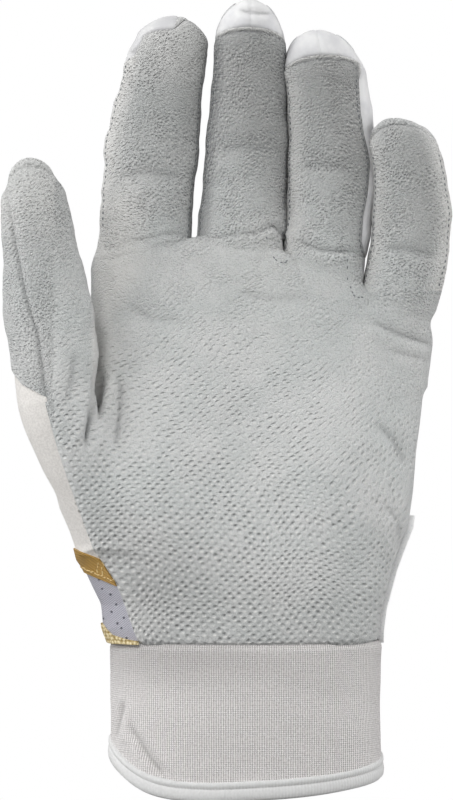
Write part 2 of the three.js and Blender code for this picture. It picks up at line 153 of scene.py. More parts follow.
def sleeve_form(sleeve):
    """Distance from the straightened sleeve, closed by its domed tip and open below."""
    s = SLEEVES[sleeve]

    def field(u, w, a):
        half_u, half_w = sleeve_half(sleeve, a)
        q = np.clip((a - (s["length"] - s["dome"])) / s["dome"], 0, 2)
        r = ((np.abs(u) / half_u) ** SLEEVE_POWER + (np.abs(w) / half_w) ** SLEEVE_POWER) ** (1 / SLEEVE_POWER)
        return (np.sqrt(r * r + q * q) - 1) * np.minimum(half_u, half_w)
    return field


def hand_side(x, z):
    """Share of the way up the hand, and half of its width there on the side where x is."""
    up = np.clip((z - CUFF_TOP) / (knuckle_top(x) - CUFF_TOP), 0, 1)
    return up, np.where(x < 0, np.interp(up, HAND_UP, HAND_LEFT), np.interp(up, HAND_UP, HAND_RIGHT))


def hand_form(x, y, z):
    """Distance from the hand between cuff and knuckles, with the roots of the fingers and the thumb."""
    up, side = hand_side(x, z)
    front = np.interp(up, HAND_UP, HAND_FRONT)
    for height, at, spread, slant in MOUNDS:
        front = front + height * hump(x, z, at, spread, slant)
    deep = np.where(y < 0, front, np.interp(up, HAND_UP, HAND_BACK))
    d = oval(x, y, side, deep, HAND_POWER)
    top = z - knuckle_top(x) - sum(rise * bell(x - at, 5) for at, rise in CROTCH_RISE.items())
    d = -join(-d, -top, 5.0)
    for name in FINGERS:
        u, w, a = to_sleeve(name, x, y, z)
        half_u, half_w = sleeve_half(name, a)
        shrink = np.clip((-a - 6) / 20, 0, 1)
        drift = 4.5 * np.clip(-a / 12, 0, 1) if name == "pinky" else 0
        stub = oval(u + drift, w, half_u * (1 - 0.3 * shrink), half_w * (1 - 0.4 * shrink), SLEEVE_POWER)
        stub = np.maximum(np.maximum(stub, a - 2), -a - 26)
        d = join(d, stub, 0.05 + 7 * np.clip(-a / 12, 0, 1))
    u, w, a = to_sleeve("thumb", x, y, z)
    half_u, half_w = sleeve_half("thumb", a)
    foot = np.clip(-a / THUMB_FOOT, 0, 1)
    drift = foot ** 1.6
    stub = oval(u - 12.8 * drift, w - 7 * drift, half_u * (1 - 0.2 * foot), half_w * (1 - 0.25 * foot), SLEEVE_POWER)
    stub = np.maximum(np.maximum(stub, a - 2), -a - THUMB_FOOT)
    return join(d, stub, 0.05 + 8 * np.clip(-a / 14, 0, 1))


def skin(field, low, high, step):
    """Points and triangles of a form's surface, evenly spread: one point in each cell that the surface crosses."""
    axes = [np.arange(a, b + step, step) for a, b in zip(low, high)]
    values = field(*np.meshgrid(*axes, indexing="ij"))
    cells = np.array(values.shape) - 1
    total, count = np.zeros((*cells, 3)), np.zeros(cells)
    for axis in range(3):
        for corner in range(4):
            offset = np.roll([0, corner & 1, corner >> 1], axis)
            a, b = (values[tuple(slice(o, o + n) for o, n in zip(start, cells))]
                    for start in (offset, offset + np.eye(3, dtype=int)[axis]))
            crossed = (a < 0) != (b < 0)
            t = np.where(crossed, a / np.where(crossed, a - b, 1), 0)
            for i in range(3):
                total[..., i] += crossed * (offset[i] + (t if i == axis else 0))
            count += crossed
    used = count > 0
    number = np.full(cells, -1)
    number[used] = np.arange(used.sum())
    points = (np.argwhere(used) + total[used] / count[used][:, None]) * step + np.array(low, float)
    quads = []
    for axis in range(3):
        inside, beyond = (values[tuple(part if i == axis else slice(1, -1) for i in range(3))] < 0
                          for part in (slice(0, -1), slice(1, None)))
        for at, order in ((np.argwhere(inside > beyond), 1), (np.argwhere(inside < beyond), -1)):
            ring = [number[tuple((at + np.roll([0, *corner], axis)).T)]
                    for corner in ((0, 0), (1, 0), (1, 1), (0, 1))]
            quads.append(np.stack(ring[::order], 1))
    quads = np.concatenate(quads)
    for _ in range(4):
        value = field(*points.T)
        slope = np.stack([(field(*(points + d).T) - field(*(points - d).T)) / 0.1 for d in np.eye(3) * 0.05], 1)
        size = np.maximum((slope ** 2).sum(1), 0.05)
        points = points - np.clip(value / size, -step, step)[:, None] * slope
    a, b, c, d = (points[quads[:, i]] for i in range(4))
    short = (np.linalg.norm(a - c, axis=1) < np.linalg.norm(b - d, axis=1))[:, None]
    return points, np.concatenate([np.where(short, quads[:, one], quads[:, other]) for one, other in
                                   (([0, 1, 2], [0, 1, 3]), ([0, 2, 3], [1, 2, 3]))])


def normals_of(points, faces):
    a, b, c = (points[faces[:, i]] for i in range(3))
    face = np.cross(b - a, c - a)
    total = np.stack([np.bincount(faces.ravel(), np.repeat(face[:, i], 3), len(points)) for i in range(3)], 1)
    return total / np.maximum(np.linalg.norm(total, axis=1), 1e-12)[:, None]


def cut(points, faces, values):
    """Splits a panel along the line where values is 0. Returns the part below 0 and the part above it."""
    values = np.where(np.abs(values) < 0.04, 1e-9, values)
    below = values < 0
    kind = below[faces].sum(1)
    keep = {True: [faces[kind == 3]], False: [faces[kind == 0]]}
    mixed = faces[(kind == 1) | (kind == 2)]
    if len(mixed):
        lone_below = below[mixed].sum(1) == 1
        turn = np.argmax(below[mixed] == lone_below[:, None], 1)
        a, b, c = (mixed[np.arange(len(mixed)), (turn + i) % 3] for i in range(3))
        edges = np.sort(np.concatenate([np.stack([a, b], 1), np.stack([a, c], 1)]), 1)
        unique, back = np.unique(edges, axis=0, return_inverse=True)
        t = values[unique[:, 0]] / (values[unique[:, 0]] - values[unique[:, 1]])
        made = points[unique[:, 0]] + t[:, None] * (points[unique[:, 1]] - points[unique[:, 0]])
        ab, ac = (len(points) + back.reshape(-1)[: len(a)], len(points) + back.reshape(-1)[len(a):])
        points = np.concatenate([points, made])
        tip = np.stack([a, ab, ac], 1)
        foot = np.concatenate([np.stack([ab, b, c], 1), np.stack([ab, c, ac], 1)])
        twice = np.concatenate([lone_below, lone_below])
        keep[True] += [tip[lone_below], foot[~twice]]
        keep[False] += [tip[~lone_below], foot[twice]]
    parts = []
    for part in (True, False):
        chosen = np.concatenate(keep[part])
        used, back = np.unique(chosen, return_inverse=True)
        parts.append((points[used], back.reshape(chosen.shape)))
    return parts


def trim(panel, values):
    """The part of a panel where values is below 0."""
    return cut(*panel, values)[0]


def form_of(panel):
    """Place on the form of every point of a panel."""
    return panel[0][:, 6:9].T


SKIN_STEP = 0.75
HAND_LOW, HAND_HIGH = (-78, -37, 44), (65, 31, 172)
# Height at which the middle of the gap between two fingers is taken.
GAP_LEVEL = 150.0
WEB_REACH = 1.7
WEB_DEPTH = 9.0
PALM_WRAP = 2.0
GUSSET_BACK = 6.0
# Seam between the palm leather and the panels of the thumb side.
SIDE_SEAM_Z = [44, 64.5, 74.4, 89.4, 104.4, 118, 124]
SIDE_SEAM_X = [-31.2, -39.0, -45.8, -50.9, -55.8, -59.4, -59.4]
SEAM_GROOVE, SEAM_WIDTH = 0.6, 0.9
PLEATS = (12.0, 16.5, 21.0)
# Slow waves of worn leather: height, length and seed.
WORN_WAVES = ((0.35, 26, 3), (0.22, 10, 4))
# Each fold seen from the palm: its path in pixels of the photograph, then its width and depth. Each is pressed in and
# also darkened along its line as painted shade.
FOLDS = [
    ([(112, 243), (140, 240), (166, 234), (190, 233)], 0.8, 0.4),
    ([(100, 250), (128, 246), (156, 241)], 0.8, 0.3),
    ([(92, 262), (116, 258), (140, 250)], 0.8, 0.2),
    ([(204, 240), (230, 235), (252, 234), (282, 224)], 1.0, 0.45),
    ([(292, 236), (306, 244), (324, 251), (362, 252)], 1.1, 0.7),
    ([(366, 318), (388, 330), (408, 338), (440, 347)], 1.5, 0.5),
    ([(390, 352), (410, 356), (436, 362)], 1.4, 0.25),
    ([(103, 366), (100, 386), (96, 406), (91, 430), (86, 456)], 1.5, 2.0),
    ([(117, 372), (121, 388), (120, 410), (118, 430), (116, 452)], 1.5, 0.7),
    ([(76, 350), (74, 378), (68, 410)], 2.2, 0.5),
    ([(120, 300), (150, 318), (190, 322)], 2.8, 0.3),
    ([(230, 290), (270, 300), (320, 296)], 3.0, 0.3),
    ([(372, 420), (392, 440), (408, 470)], 2.6, 0.5),
    ([(380, 500), (396, 520), (404, 560)], 2.2, 0.4),
    ([(116, 176), (150, 172), (190, 178)], 3.0, 0.45),
    ([(212, 150), (245, 146), (276, 150)], 3.2, 0.4),
    ([(292, 168), (322, 164), (360, 172)], 3.0, 0.4),
    ([(380, 246), (410, 250), (444, 258)], 2.4, 0.5),
    ([(126, 48), (134, 54), (138, 66)], 1.2, 0.9),
    ([(264, 224), (276, 227), (284, 236), (287, 250)], 0.9, 0.9),
    ([(236, 10), (246, 13), (258, 14.5), (276, 13)], 1.0, 0.8),
]


def edge_x(sleeve, z, side):
    """Outline of a sleeve seen from the palm."""
    along = (z - SLEEVES[sleeve]["root"][2]) / math.cos(LEAN[sleeve])
    return from_sleeve(sleeve, side * sleeve_half(sleeve, along)[0], 0 * along, along)[..., 0]


def gap_x(i, z):
    """Middle of the gap between two neighbouring fingers."""
    return (edge_x(FINGERS[i], z, 1) + edge_x(FINGERS[i + 1], z, -1)) / 2


def crotch_top(i):
    """Height of the leather between two neighbouring fingers."""
    return knuckle_top(gap_x(i, np.array(GAP_LEVEL))) + list(CROTCH_RISE.values())[i]


def gap_distance(i, x, z):
    """Distance, seen from the palm, from the gap that starts at the crotch between two fingers."""
    crotch = crotch_top(i)
    return np.hypot(x - gap_x(i, np.maximum(z, crotch)), np.maximum(crotch - z, 0))


def tongue(sleeve, u, a, left, right, cap):
    """Below 0 inside a panel drawn in from the sleeve's outline, with a round top that stops short of the tip."""
    s = SLEEVES[sleeve]
    half = sleeve_half(sleeve, a)[0]
    shoulder = s["length"] - cap - s["arch"]
    reach = sleeve_half(sleeve, shoulder + 0 * a)[0] - 0.2
    arch = a - shoulder - s["arch"] * np.sqrt(np.clip(1 - (u / reach) ** 2, 0, 1))
    return np.maximum(np.maximum(u - half + right, -u - half + left), arch)


def rim(points, faces, normals, depth):
    """The cut edge of a panel: a strip turned in from every open edge."""
    edges = np.concatenate([faces[:, [0, 1]], faces[:, [1, 2]], faces[:, [2, 0]]])
    _, first, count = np.unique(np.sort(edges, 1), axis=0, return_index=True, return_counts=True)
    edge = edges[first[count == 1]]
    a, b = edge[:, 0], edge[:, 1]
    out = np.cross(points[b] - points[a], normals[a] + normals[b])
    out /= np.maximum(np.linalg.norm(out, axis=1), 1e-9)[:, None]
    corners = [points[a], points[b], points[b] - depth * normals[b], points[a] - depth * normals[a]]
    start = len(points) + np.arange(len(a))
    n = len(a)
    strip = np.concatenate([np.stack([start + n, start, start + 2 * n], 1),
                            np.stack([start + 2 * n, start, start + 3 * n], 1)])
    return np.concatenate([points] + corners), np.concatenate([faces, strip]), np.concatenate([normals] + [out] * 4)


def keep_on(mesh, key, values):
    """Keeps a value or a vector at every point of a mesh."""
    vector = np.ndim(values) == 2
    layer = mesh.attributes.new(key, "FLOAT_VECTOR" if vector else "FLOAT", "POINT")
    layer.data.foreach_set("vector" if vector else "value", np.asarray(values, np.float32).ravel())


def put(name, data):
    """Puts a mesh, a lamp or a camera into the scene."""
    thing = bpy.data.objects.new(name, data)
    bpy.context.collection.objects.link(thing)
    return thing


def make_piece(name, points, faces, normals, rest=None, edge_depth=1.0, marks=None):
    """A panel as a mesh, with its resting place in millimetres kept for the pattern of its material."""
    count = len(points)
    if edge_depth is not None:
        points, faces, normals = rim(points, faces, normals, edge_depth)
    mesh = bpy.data.meshes.new(name)
    mesh.from_pydata((points * MM).tolist(), [], faces.tolist())
    mesh.polygons.foreach_set("use_smooth", np.ones(len(faces), bool))
    mesh.normals_split_custom_set_from_vertices(normals.tolist())
    place = points.copy()
    if rest is not None:
        place[:count] = rest
    keep_on(mesh, "rest", place)
    for key, value in (marks or {}).items():
        full = np.zeros(len(points))
        full[:count] = value
        keep_on(mesh, key, full)
    return put(name, mesh)


PIXEL = 0.3


def at_photo(px, py):
    """Millimetres in the plane of the palm from a pixel of the photograph."""
    return (px - 246) * PIXEL, (798 - py) * PIXEL


# Height of the bank beside each fold, and width of its line of painted shade as a share of the fold's width.
FOLD_BANK, SHADE_LINE_SHARE = 0.35, 0.42


def fold(points, normals, path, width, depth):
    """A crease pressed in along a path seen from the palm, with a soft bank on each side, fading at its ends, and a
    line of painted shade along it.
    """
    line = np.array([at_photo(*p) for p in path])
    flat = points[:, [0, 2]]
    best, along = np.full(len(flat), 1e9), np.zeros(len(flat))
    lengths = np.linalg.norm(np.diff(line, axis=0), axis=1)
    start = np.concatenate([[0], np.cumsum(lengths)])
    for i in range(len(line) - 1):
        step = line[i + 1] - line[i]
        t = np.clip((flat - line[i]) @ step / (step @ step), 0, 1)
        d = np.linalg.norm(flat - line[i] - t[:, None] * step, axis=1)
        near = d < best
        along = np.where(near, (start[i] + t * lengths[i]) / start[-1], along)
        best = np.where(near, d, best)
    shape = FOLD_BANK * bell(best - 2.0 * width, width) - bell(best, width)
    line_share = ease(4 * np.minimum(along, 1 - along)) * ease(-1.6 * normals[:, 1])
    # The second value is the line of painted shade along the fold.
    return depth * shape * line_share, min(depth, 1.0) * bell(best, SHADE_LINE_SHARE * width) * line_share


def waves(points, size, seed):
    """Slow unevenness of worn leather, between -1 and 1."""
    rng = np.random.default_rng(seed)
    total = np.zeros(len(points))
    for _ in range(6):
        direction = rng.normal(size=3)
        direction *= rng.uniform(0.7, 1.4) * 2 * math.pi / size / np.linalg.norm(direction)
        total += np.sin(points @ direction + rng.uniform(0, 2 * math.pi))
    return total / 6


def relief(points, normals):
    """How far the worn leather stands off the form: slow waves, and the folds seen on the palm side. Also the painted
    shade along the folds.
    """
    off = sum(height * waves(points, size, seed) for height, size, seed in WORN_WAVES)
    line = np.zeros(len(points))
    for path, width, depth in FOLDS:
        pressed, crease_shade = fold(points, normals, path, width, depth)
        off, line = off + pressed, np.maximum(line, crease_shade)
    return off, line


def worn(points, faces, pleats=0.0):
    """A form's skin with the relief of wear. Columns: place, normal, place on the form, painted shade along the folds.
    """
    normals = normals_of(points, faces)
    off, line = relief(points, normals)
    moved = points + (off + pleats)[:, None] * normals
    return np.hstack([moved, normals_of(moved, faces), points, line[:, None]]), faces


hand = skin(hand_form, HAND_LOW, HAND_HIGH, SKIN_STEP)
hand = trim(hand, CUFF_TOP + 0.4 - hand[0][:, 2])
x, y, z = hand[0].T
across = ease((48 - np.abs(x - 2)) / 8) * ease((y - 6) / 4)
hand = worn(*hand, -0.8 * across * sum(bell(z - knuckle_top(x) + level, 0.9) for level in PLEATS))
x, y, z = form_of(hand)
above = []
for name in SLEEVES:
    u, w, a = to_sleeve(name, x, y, z)
    above.append(np.minimum(a, 0.2 - oval(u, w, *sleeve_half(name, a), SLEEVE_POWER)))
hand = trim(hand, np.max(above, axis=0))
x, y, z = form_of(hand)
side_panels, hand = cut(*hand, np.maximum(x - np.interp(z, SIDE_SEAM_Z, SIDE_SEAM_X), y - GUSSET_BACK))
x, y, z = form_of(hand)
in_gap = np.min([gap_distance(i, x, z) for i in range(3)], axis=0) - WEB_REACH
webs, hand = cut(*hand, np.maximum(in_gap, np.abs(y - 0.5) - WEB_DEPTH / 2))
palm, back_of_hand = cut(*hand, hand[0][:, 7] - PALM_WRAP)


# Palm leather
# One piece of pale grey leather from the cuff to the finger roots, nap side out. It is embossed with ring dimples
# that are deep at the heel of the hand and fade to short dashes and plain grain towards the fingers.
THUMB_SIDE = -57
DIMPLE_PITCH, GRAIN_PITCH = 1.95, 0.95
# Shifts of each pit: the pit, its upper wall that is darkened as painted shade, and its lower lip that is lightened as
# a painted highlight.
DIMPLE_DROPS = {"pit": 0.0, "upper wall": -0.14, "lower lip": 0.52}
PANEL_LIFT = 0.3
CREASE_REACH = 1.5
STITCH_FAR = -16.0


def hex_color(code):
    """A colour as seen on a screen, as the light values that materials take."""
    parts = [int(code[i:i + 2], 16) / 255 for i in (1, 3, 5)]
    return tuple(c / 12.92 if c <= 0.04045 else ((c + 0.055) / 1.055) ** 2.4 for c in parts) + (1.0,)


def is_socket(value):
    return isinstance(value, bpy.types.NodeSocket)


def add_node(near, kind, inputs=None, **settings):
    """Adds a node to the tree that near is in, with its settings, and values or links for its inputs."""
    tree = near.id_data
    node = tree.nodes.new(kind if "Node" in kind else "ShaderNode" + kind)
    for key, value in settings.items():
        setattr(node, key, value)
    for key, value in (inputs or {}).items():
        if is_socket(value):
            tree.links.new(value, node.inputs[key])
        else:
            node.inputs[key].default_value = value
    return node


def new_material(name, code, roughness, sheen=0.0):
    """A material with its surface shader, and the place of each point on the resting panel in millimetres."""
    material = bpy.data.materials.new(name)
    material.use_nodes = True
    shader = material.node_tree.nodes["Principled BSDF"]
    shader.inputs["Base Color"].default_value = hex_color(code)
    shader.inputs["Roughness"].default_value = roughness
    shader.inputs["Sheen Weight"].default_value = sheen
    shader.inputs["Specular IOR Level"].default_value = 0.3
    return material, shader, add_node(shader, "Attribute", attribute_name="rest").outputs["Vector"]


def mark(near, name):
    """A value painted on the points of a panel."""
    return add_node(near, "Attribute", attribute_name=name).outputs["Fac"]


def texture(kind, at, scale, **given):
    """A pattern in space. Given names with a capital are inputs of the node, the others are its settings."""
    inputs = {key: value for key, value in given.items() if key[0].isupper()}
    settings = {key: value for key, value in given.items() if key not in inputs}
    node = add_node(at, "Tex" + kind, {"Vector": at, "Scale": scale, **inputs}, **settings)
    return node.outputs["Distance" if kind == "Voronoi" else "Fac"]


def math_node(operation, *values, clamp=False):
    near = next(v for v in values if is_socket(v))
    return add_node(near, "Math", dict(enumerate(values)), operation=operation, use_clamp=clamp).outputs[0]


def times(a, b, plus=0.0, clamp=False):
    return math_node("MULTIPLY_ADD", a, b, plus, clamp=clamp)


def ramp(value, low, high, to_low=0.0, to_high=1.0):
    """A smooth step of a value from one range to another."""
    return add_node(value, "MapRange", {"Value": value, "From Min": low, "From Max": high, "To Min": to_low,
                                        "To Max": to_high}, interpolation_type="SMOOTHSTEP").outputs["Result"]


def turned(vector, angle, axis="Y_AXIS"):
    return add_node(vector, "VectorRotate", {"Vector": vector, "Angle": angle}, rotation_type=axis).outputs["Vector"]


def in_plane(vector):
    """The x and z of a place, as the x and y of a flat pattern."""
    parts = add_node(vector, "SeparateXYZ", {"Vector": vector}).outputs
    return add_node(vector, "CombineXYZ", {"X": parts["X"], "Y": parts["Z"]}).outputs["Vector"]


def tint(a, b, share):
    """Colour a turned into colour b by a share. Each is a code, or comes from another node."""
    sides = {key: value if is_socket(value) else hex_color(value) for key, value in (("A", a), ("B", b))}
    return add_node(share, "Mix", {"Factor": share, **sides}, data_type="RGBA").outputs["Result"]


def cover(shader, colour, height=None, depth=0.0):
    """Gives a surface its colour, and its relief in millimetres."""
    links = shader.id_data.links
    links.new(colour, shader.inputs["Base Color"])
    if height is not None:
        relief_node = add_node(shader, "Bump", {"Height": height, "Distance": depth * MM, "Strength": 1.0})
        links.new(relief_node.outputs["Normal"], shader.inputs["Normal"])


leather, shader, rest = new_material("nap_leather", "#c4c6c5", 0.9, 0.6)
# Marks painted on the points of each panel: depth of dimples, share of fine grain, painted shade, lines of folds and
# seams with their painted shade, and painted light with the pale raw edge.
emboss, grain, soil, fold_line, raw = [mark(shader, name) for name in ("emboss", "grain", "soil", "fold", "raw")]
sway = add_node(rest, "TexNoise", {"Vector": rest, "Scale": 0.035, "Detail": 1.0}).outputs["Color"]
swayed = add_node(rest, "VectorMath", {0: sway, 1: (9.0, 9.0, 9.0), 2: rest}, operation="MULTIPLY_ADD")
plane = in_plane(turned(swayed.outputs["Vector"], math.radians(43)))


def pits(pitch, loose, lean, length, thick):
    """One pit in every cell of a staggered lattice, drawn out along a slant: the pit, its upper wall for painted
    shade, and its lower lip for a painted highlight.
    """
    cells = add_node(plane, "TexVoronoi", {"Vector": plane, "Scale": 1 / pitch, "Randomness": loose},
                     voronoi_dimensions="2D").outputs
    offset = add_node(plane, "VectorMath", {0: plane, 1: cells["Position"]}, operation="SUBTRACT").outputs["Vector"]
    way = add_node(plane, "SeparateXYZ", {"Vector": turned(offset, lean, "Z_AXIS")}).outputs
    far = math_node("DIVIDE", way["X"], length)
    uneven = ramp(add_node(plane, "SeparateColor", {"Color": cells["Color"]}).outputs["Red"], 0.0, 0.6, 0.5, 1)
    found = []
    for drop in DIMPLE_DROPS.values():
        wide = math_node("DIVIDE", math_node("ADD", way["Y"], drop), thick)
        share = math_node("SQRT", times(far, far, times(wide, wide)))
        found.append(times(ramp(share, 0.0, 1.0, 1, 0), uneven))
    return found


outer = ramp(add_node(rest, "SeparateXYZ", {"Vector": rest}).outputs["X"], 8.0, 46.0, 0, math.radians(-45))
turn = math_node("ADD", times(emboss, math.radians(20), math.radians(18)), outer)
coarse_pits = pits(DIMPLE_PITCH, times(emboss, -0.25, 0.5), turn, times(emboss, -0.14, 1.05), times(emboss, 0.4, 0.4))
fine_pits = pits(GRAIN_PITCH, 0.9, math.radians(23), 0.48, 0.4)
spot_share = ramp(texture("Noise", rest, 0.13, Detail=3.0), 0.36, 0.6, times(emboss, 0.4, 0.35), 1)
coarse = times(times(math_node("SUBTRACT", 1.0, grain, clamp=True), spot_share), times(emboss, 0.3, 0.7))
fine_share = times(grain, spot_share)
pit, wall, lip_highlight = [math_node("MAXIMUM", times(large, coarse), times(small, fine_share))
                  for large, small in zip(coarse_pits, fine_pits)]
lip_highlight = times(pit, -1.2, lip_highlight, clamp=True)
nap = texture("Noise", rest, 2.3, Detail=3.0, Roughness=0.6)
height = times(fold_line, -1.2, times(nap, times(grain, 0.5, 0.6), times(pit, -1.0)))
colour = tint("#cacdcc", "#d4d5d4", ramp(texture("Noise", rest, 0.05, Detail=3.0), 0.35, 0.65))
# Painted shade: the leather is darkened towards grey by the mark of painted shade.
colour = tint(colour, "#929291", times(soil, 0.42))
# Painted shade in the upper wall of each pit and along the lines of folds and seams.
deep = times(ramp(wall, 0.45, 0.95, 0, 0.42), times(grain, -0.1, 1.0))
colour = tint(colour, "#575a5d", math_node("MAXIMUM", deep, times(fold_line, 0.6), clamp=True))
# The fine grain colour shows less where painted shade lies.
grain_out_of_shade = times(grain, math_node("SUBTRACT", 1.0, soil, clamp=True))
colour = tint(colour, "#7d8183", times(ramp(nap, 0.34, 0.54, 1, 0), times(grain_out_of_shade, 0.3, 0.25)))
# Painted highlight on the lower lip of each pit, painted light on edges and tips, and the paler raw edge of the
# leather all lighten it towards #e6e5e2.
pale_edge_and_painted_light = math_node("MAXIMUM", times(lip_highlight, times(grain, -0.35, 1.0)), raw)
cover(shader, tint(colour, "#e6e5e2", pale_edge_and_painted_light), height, 0.8)


def leather_marks(points):
    """Depth of the dimples, share of fine grain, painted shade, painted light, and the lines of folds that carry
    painted shade.
    """
    x, z = points[:, 6], points[:, 8]
    up = z - knuckle_top(x)
    heel = np.maximum(ease((128 - z - 0.25 * (x + 10)) / 62), 0.6 * ease((-52 - x) / 8))
    grain = 0.4 * ease((up + 42) / 36) + 0.6 * ease((up + 12) / 26)
    # Painted shade: darker towards the finger roots, and over the heel and the lower thumb side of the palm.
    shade_towards_fingers = 0.2 * ease((up + 14) / 16) + 0.8 * ease((up - 6) / 34)
    heel_shade = 0.75 * ease((84 - z - 0.3 * x) / 30) + 0.6 * hump(x, z, (-32, 62), (18, 16))
    # Painted light: paler along the edge of the hand beside the thumb, and across the top of the palm.
    reach = -26 - 9 * ease((160 - z) / 20)
    painted_light_beside_thumb = 0.9 * ease((x + 47) / 2) * ease((reach - x) / 12) * ease((z - 112) / 12) * ease((192 - z) / 16)
    painted_light = np.maximum(painted_light_beside_thumb, 0.25 * hump(x, z, (5, 161), (15, 16)))
    # On the thumb the painted shade is even, and the painted light grows towards its tip.
    on_thumb = x < THUMB_SIDE
    return {"emboss": np.clip(0.05 + 0.95 * heel, 0, 1),
            "grain": np.where(on_thumb, 0.9 * ease((z - 104) / 16), grain),
            "soil": np.where(on_thumb, 0.25, np.maximum(shade_towards_fingers, heel_shade)),
            "raw": np.where(on_thumb, 0.45 * ease((z - 164) / 14), painted_light),
            "fold": points[:, 9]}


def fit(piece, body, nodes=(), material=None):
    """Gives a piece its material, ties it to its body or, in a sleeve, bakes its place into its points, and hides the
    parts it takes the place of.
    """
    if material:
        piece.data.materials.append(material)
    if body in SLEEVES:
        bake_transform(piece)
    else:
        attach(piece, body)
    if nodes:
        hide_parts(*nodes)
    return piece


def lifted(panel, shift, from_crease):
    """A panel moved off the form, and its normals, which are the form's where it meets its neighbour at a crease."""
    points, faces = panel
    place = points[:, :3] + shift[:, None] * points[:, 3:6]
    share = ease(from_crease / CREASE_REACH)[:, None]
    return place, normals_of(place, faces) * share + points[:, 3:6] * (1 - share)


def hand_panel(name, panel, material, nodes, lift, seam=None):
    """A panel of the hand, lifted off the form, pulled in along its seam, moving with the hand."""
    points, faces = panel
    shift = np.full(len(points), lift, float)
    if seam is not None:
        shift = shift - SEAM_GROOVE * bell(seam, SEAM_WIDTH) - 0.9 * bell(points[:, 8] - CUFF_TOP, 1.4)
    crease = np.min([np.abs(to_sleeve(n, *points[:, 6:9].T)[2]) for n in SLEEVES], axis=0)
    place, normals = lifted(panel, shift, crease)
    marks = leather_marks(points)
    # A line of painted shadow along the lower edge of the palm, where it meets the cuff.
    marks["fold"] = np.maximum(marks["fold"], 0.9 * bell(points[:, 8] - CUFF_TOP - 0.4, 0.55))
    piece = make_piece(name, place, faces, normals, rest=points[:, 6:9], marks=marks)
    return fit(piece, "hand", nodes, material)


x, y, z = form_of(palm)
web_edge = np.maximum(np.min([gap_distance(i, x, z) for i in range(3)], axis=0) - WEB_REACH, -y - 4)
side_edge = x - np.interp(z, SIDE_SEAM_Z, SIDE_SEAM_X)
palm_piece = hand_panel("palm_leather_panel", palm, leather, ["palm_leather"], PANEL_LIFT,
                        np.minimum(np.minimum(web_edge, np.maximum(side_edge, 0.45)), PALM_WRAP - y))


def stitch_group(length, width, material):
    """Lays one rounded stitch on every point, along the thread and flat on the leather."""
    group = bpy.data.node_groups.new("stitches", "GeometryNodeTree")
    for name, way, kind in (("Geometry", "INPUT", "Geometry"), ("Length", "INPUT", "Float"),
                            ("Width", "INPUT", "Float"), ("Geometry", "OUTPUT", "Geometry")):
        socket = group.interface.new_socket(name, in_out=way, socket_type="NodeSocket" + kind)
        if kind == "Float":
            socket.default_value = {"Length": length, "Width": width}[name]
    given = add_node(group, "NodeGroupInput").outputs
    ball = add_node(group, "GeometryNodeMeshUVSphere", {"Segments": 8, "Rings": 5, "Radius": 0.5})
    size = add_node(group, "CombineXYZ", {"X": given["Length"], "Y": given["Width"], "Z": given["Width"]})
    stitch = add_node(group, "GeometryNodeTransform", {"Geometry": ball.outputs["Mesh"], "Scale": size.outputs[0]})
    turn = {}
    for name, axis, pivot in (("up", "Z", "AUTO"), ("along", "X", "Z")):
        read = add_node(group, "GeometryNodeInputNamedAttribute", {"Name": name}, data_type="FLOAT_VECTOR")
        aimed = add_node(group, "FunctionNodeAlignRotationToVector", {"Vector": read.outputs["Attribute"], **turn},
                         axis=axis, pivot_axis=pivot)
        turn = {"Rotation": aimed.outputs["Rotation"]}
    laid = add_node(group, "GeometryNodeInstanceOnPoints",
                    {"Points": given["Geometry"], "Instance": stitch.outputs["Geometry"], **turn})
    made = add_node(group, "GeometryNodeRealizeInstances", {"Geometry": laid.outputs["Instances"]})
    dyed = add_node(group, "GeometryNodeSetMaterial", {"Geometry": made.outputs["Geometry"], "Material": material})
    add_node(group, "NodeGroupOutput", {"Geometry": dyed.outputs["Geometry"]})
    return group


def stitches(name, surface, paths, group, pitch, sink=0.0):
    """Rows of stitches on a piece. Each path is in millimetres, and is laid on the nearest place of the piece."""
    mesh = surface.data
    tree = BVHTree.FromPolygons([v.co.copy() for v in mesh.vertices], [tuple(f.vertices) for f in mesh.polygons])
    places, ups, ways = [], [], []
    for path in paths:
        path = np.asarray(path) * MM
        far = np.concatenate([[0], np.cumsum(np.linalg.norm(np.diff(path, axis=0), axis=1))])
        at = np.arange(0.5 * pitch * MM, far[-1], pitch * MM)
        if len(at) < 2:
            continue
        line = np.stack([np.interp(at, far, path[:, i]) for i in range(3)], 1)
        found = [tree.find_nearest(Vector(p)) for p in line]
        spots, up = (np.array([f[i] for f in found]) for i in (0, 1))
        places.append(spots - sink * MM * up)
        ups.append(up)
        ways.append(np.gradient(spots, axis=0))
    points = bpy.data.meshes.new(name)
    points.from_pydata(np.concatenate(places).tolist(), [], [])
    for key, values in (("up", ups), ("along", ways)):
        keep_on(points, key, np.concatenate(values))
    rows = put(name + "_rows", points)
    rows.modifiers.new("stitches", "NODES").node_group = group
    grown = bpy.data.meshes.new_from_object(rows.evaluated_get(bpy.context.evaluated_depsgraph_get()))
    grown.name = name
    bpy.data.objects.remove(rows)
    grown.polygons.foreach_set("use_smooth", np.ones(len(grown.polygons), bool))
    return put(name, grown)


def thread(name, code, roughness, dark, light):
    """Twisted sewing thread."""
    material, shader, _ = new_material(name, code, roughness)
    twist = add_node(shader, "TexNoise", {"Scale": 900.0, "Detail": 2.0}).outputs["Fac"]
    cover(shader, tint(dark, light, twist))
    return material


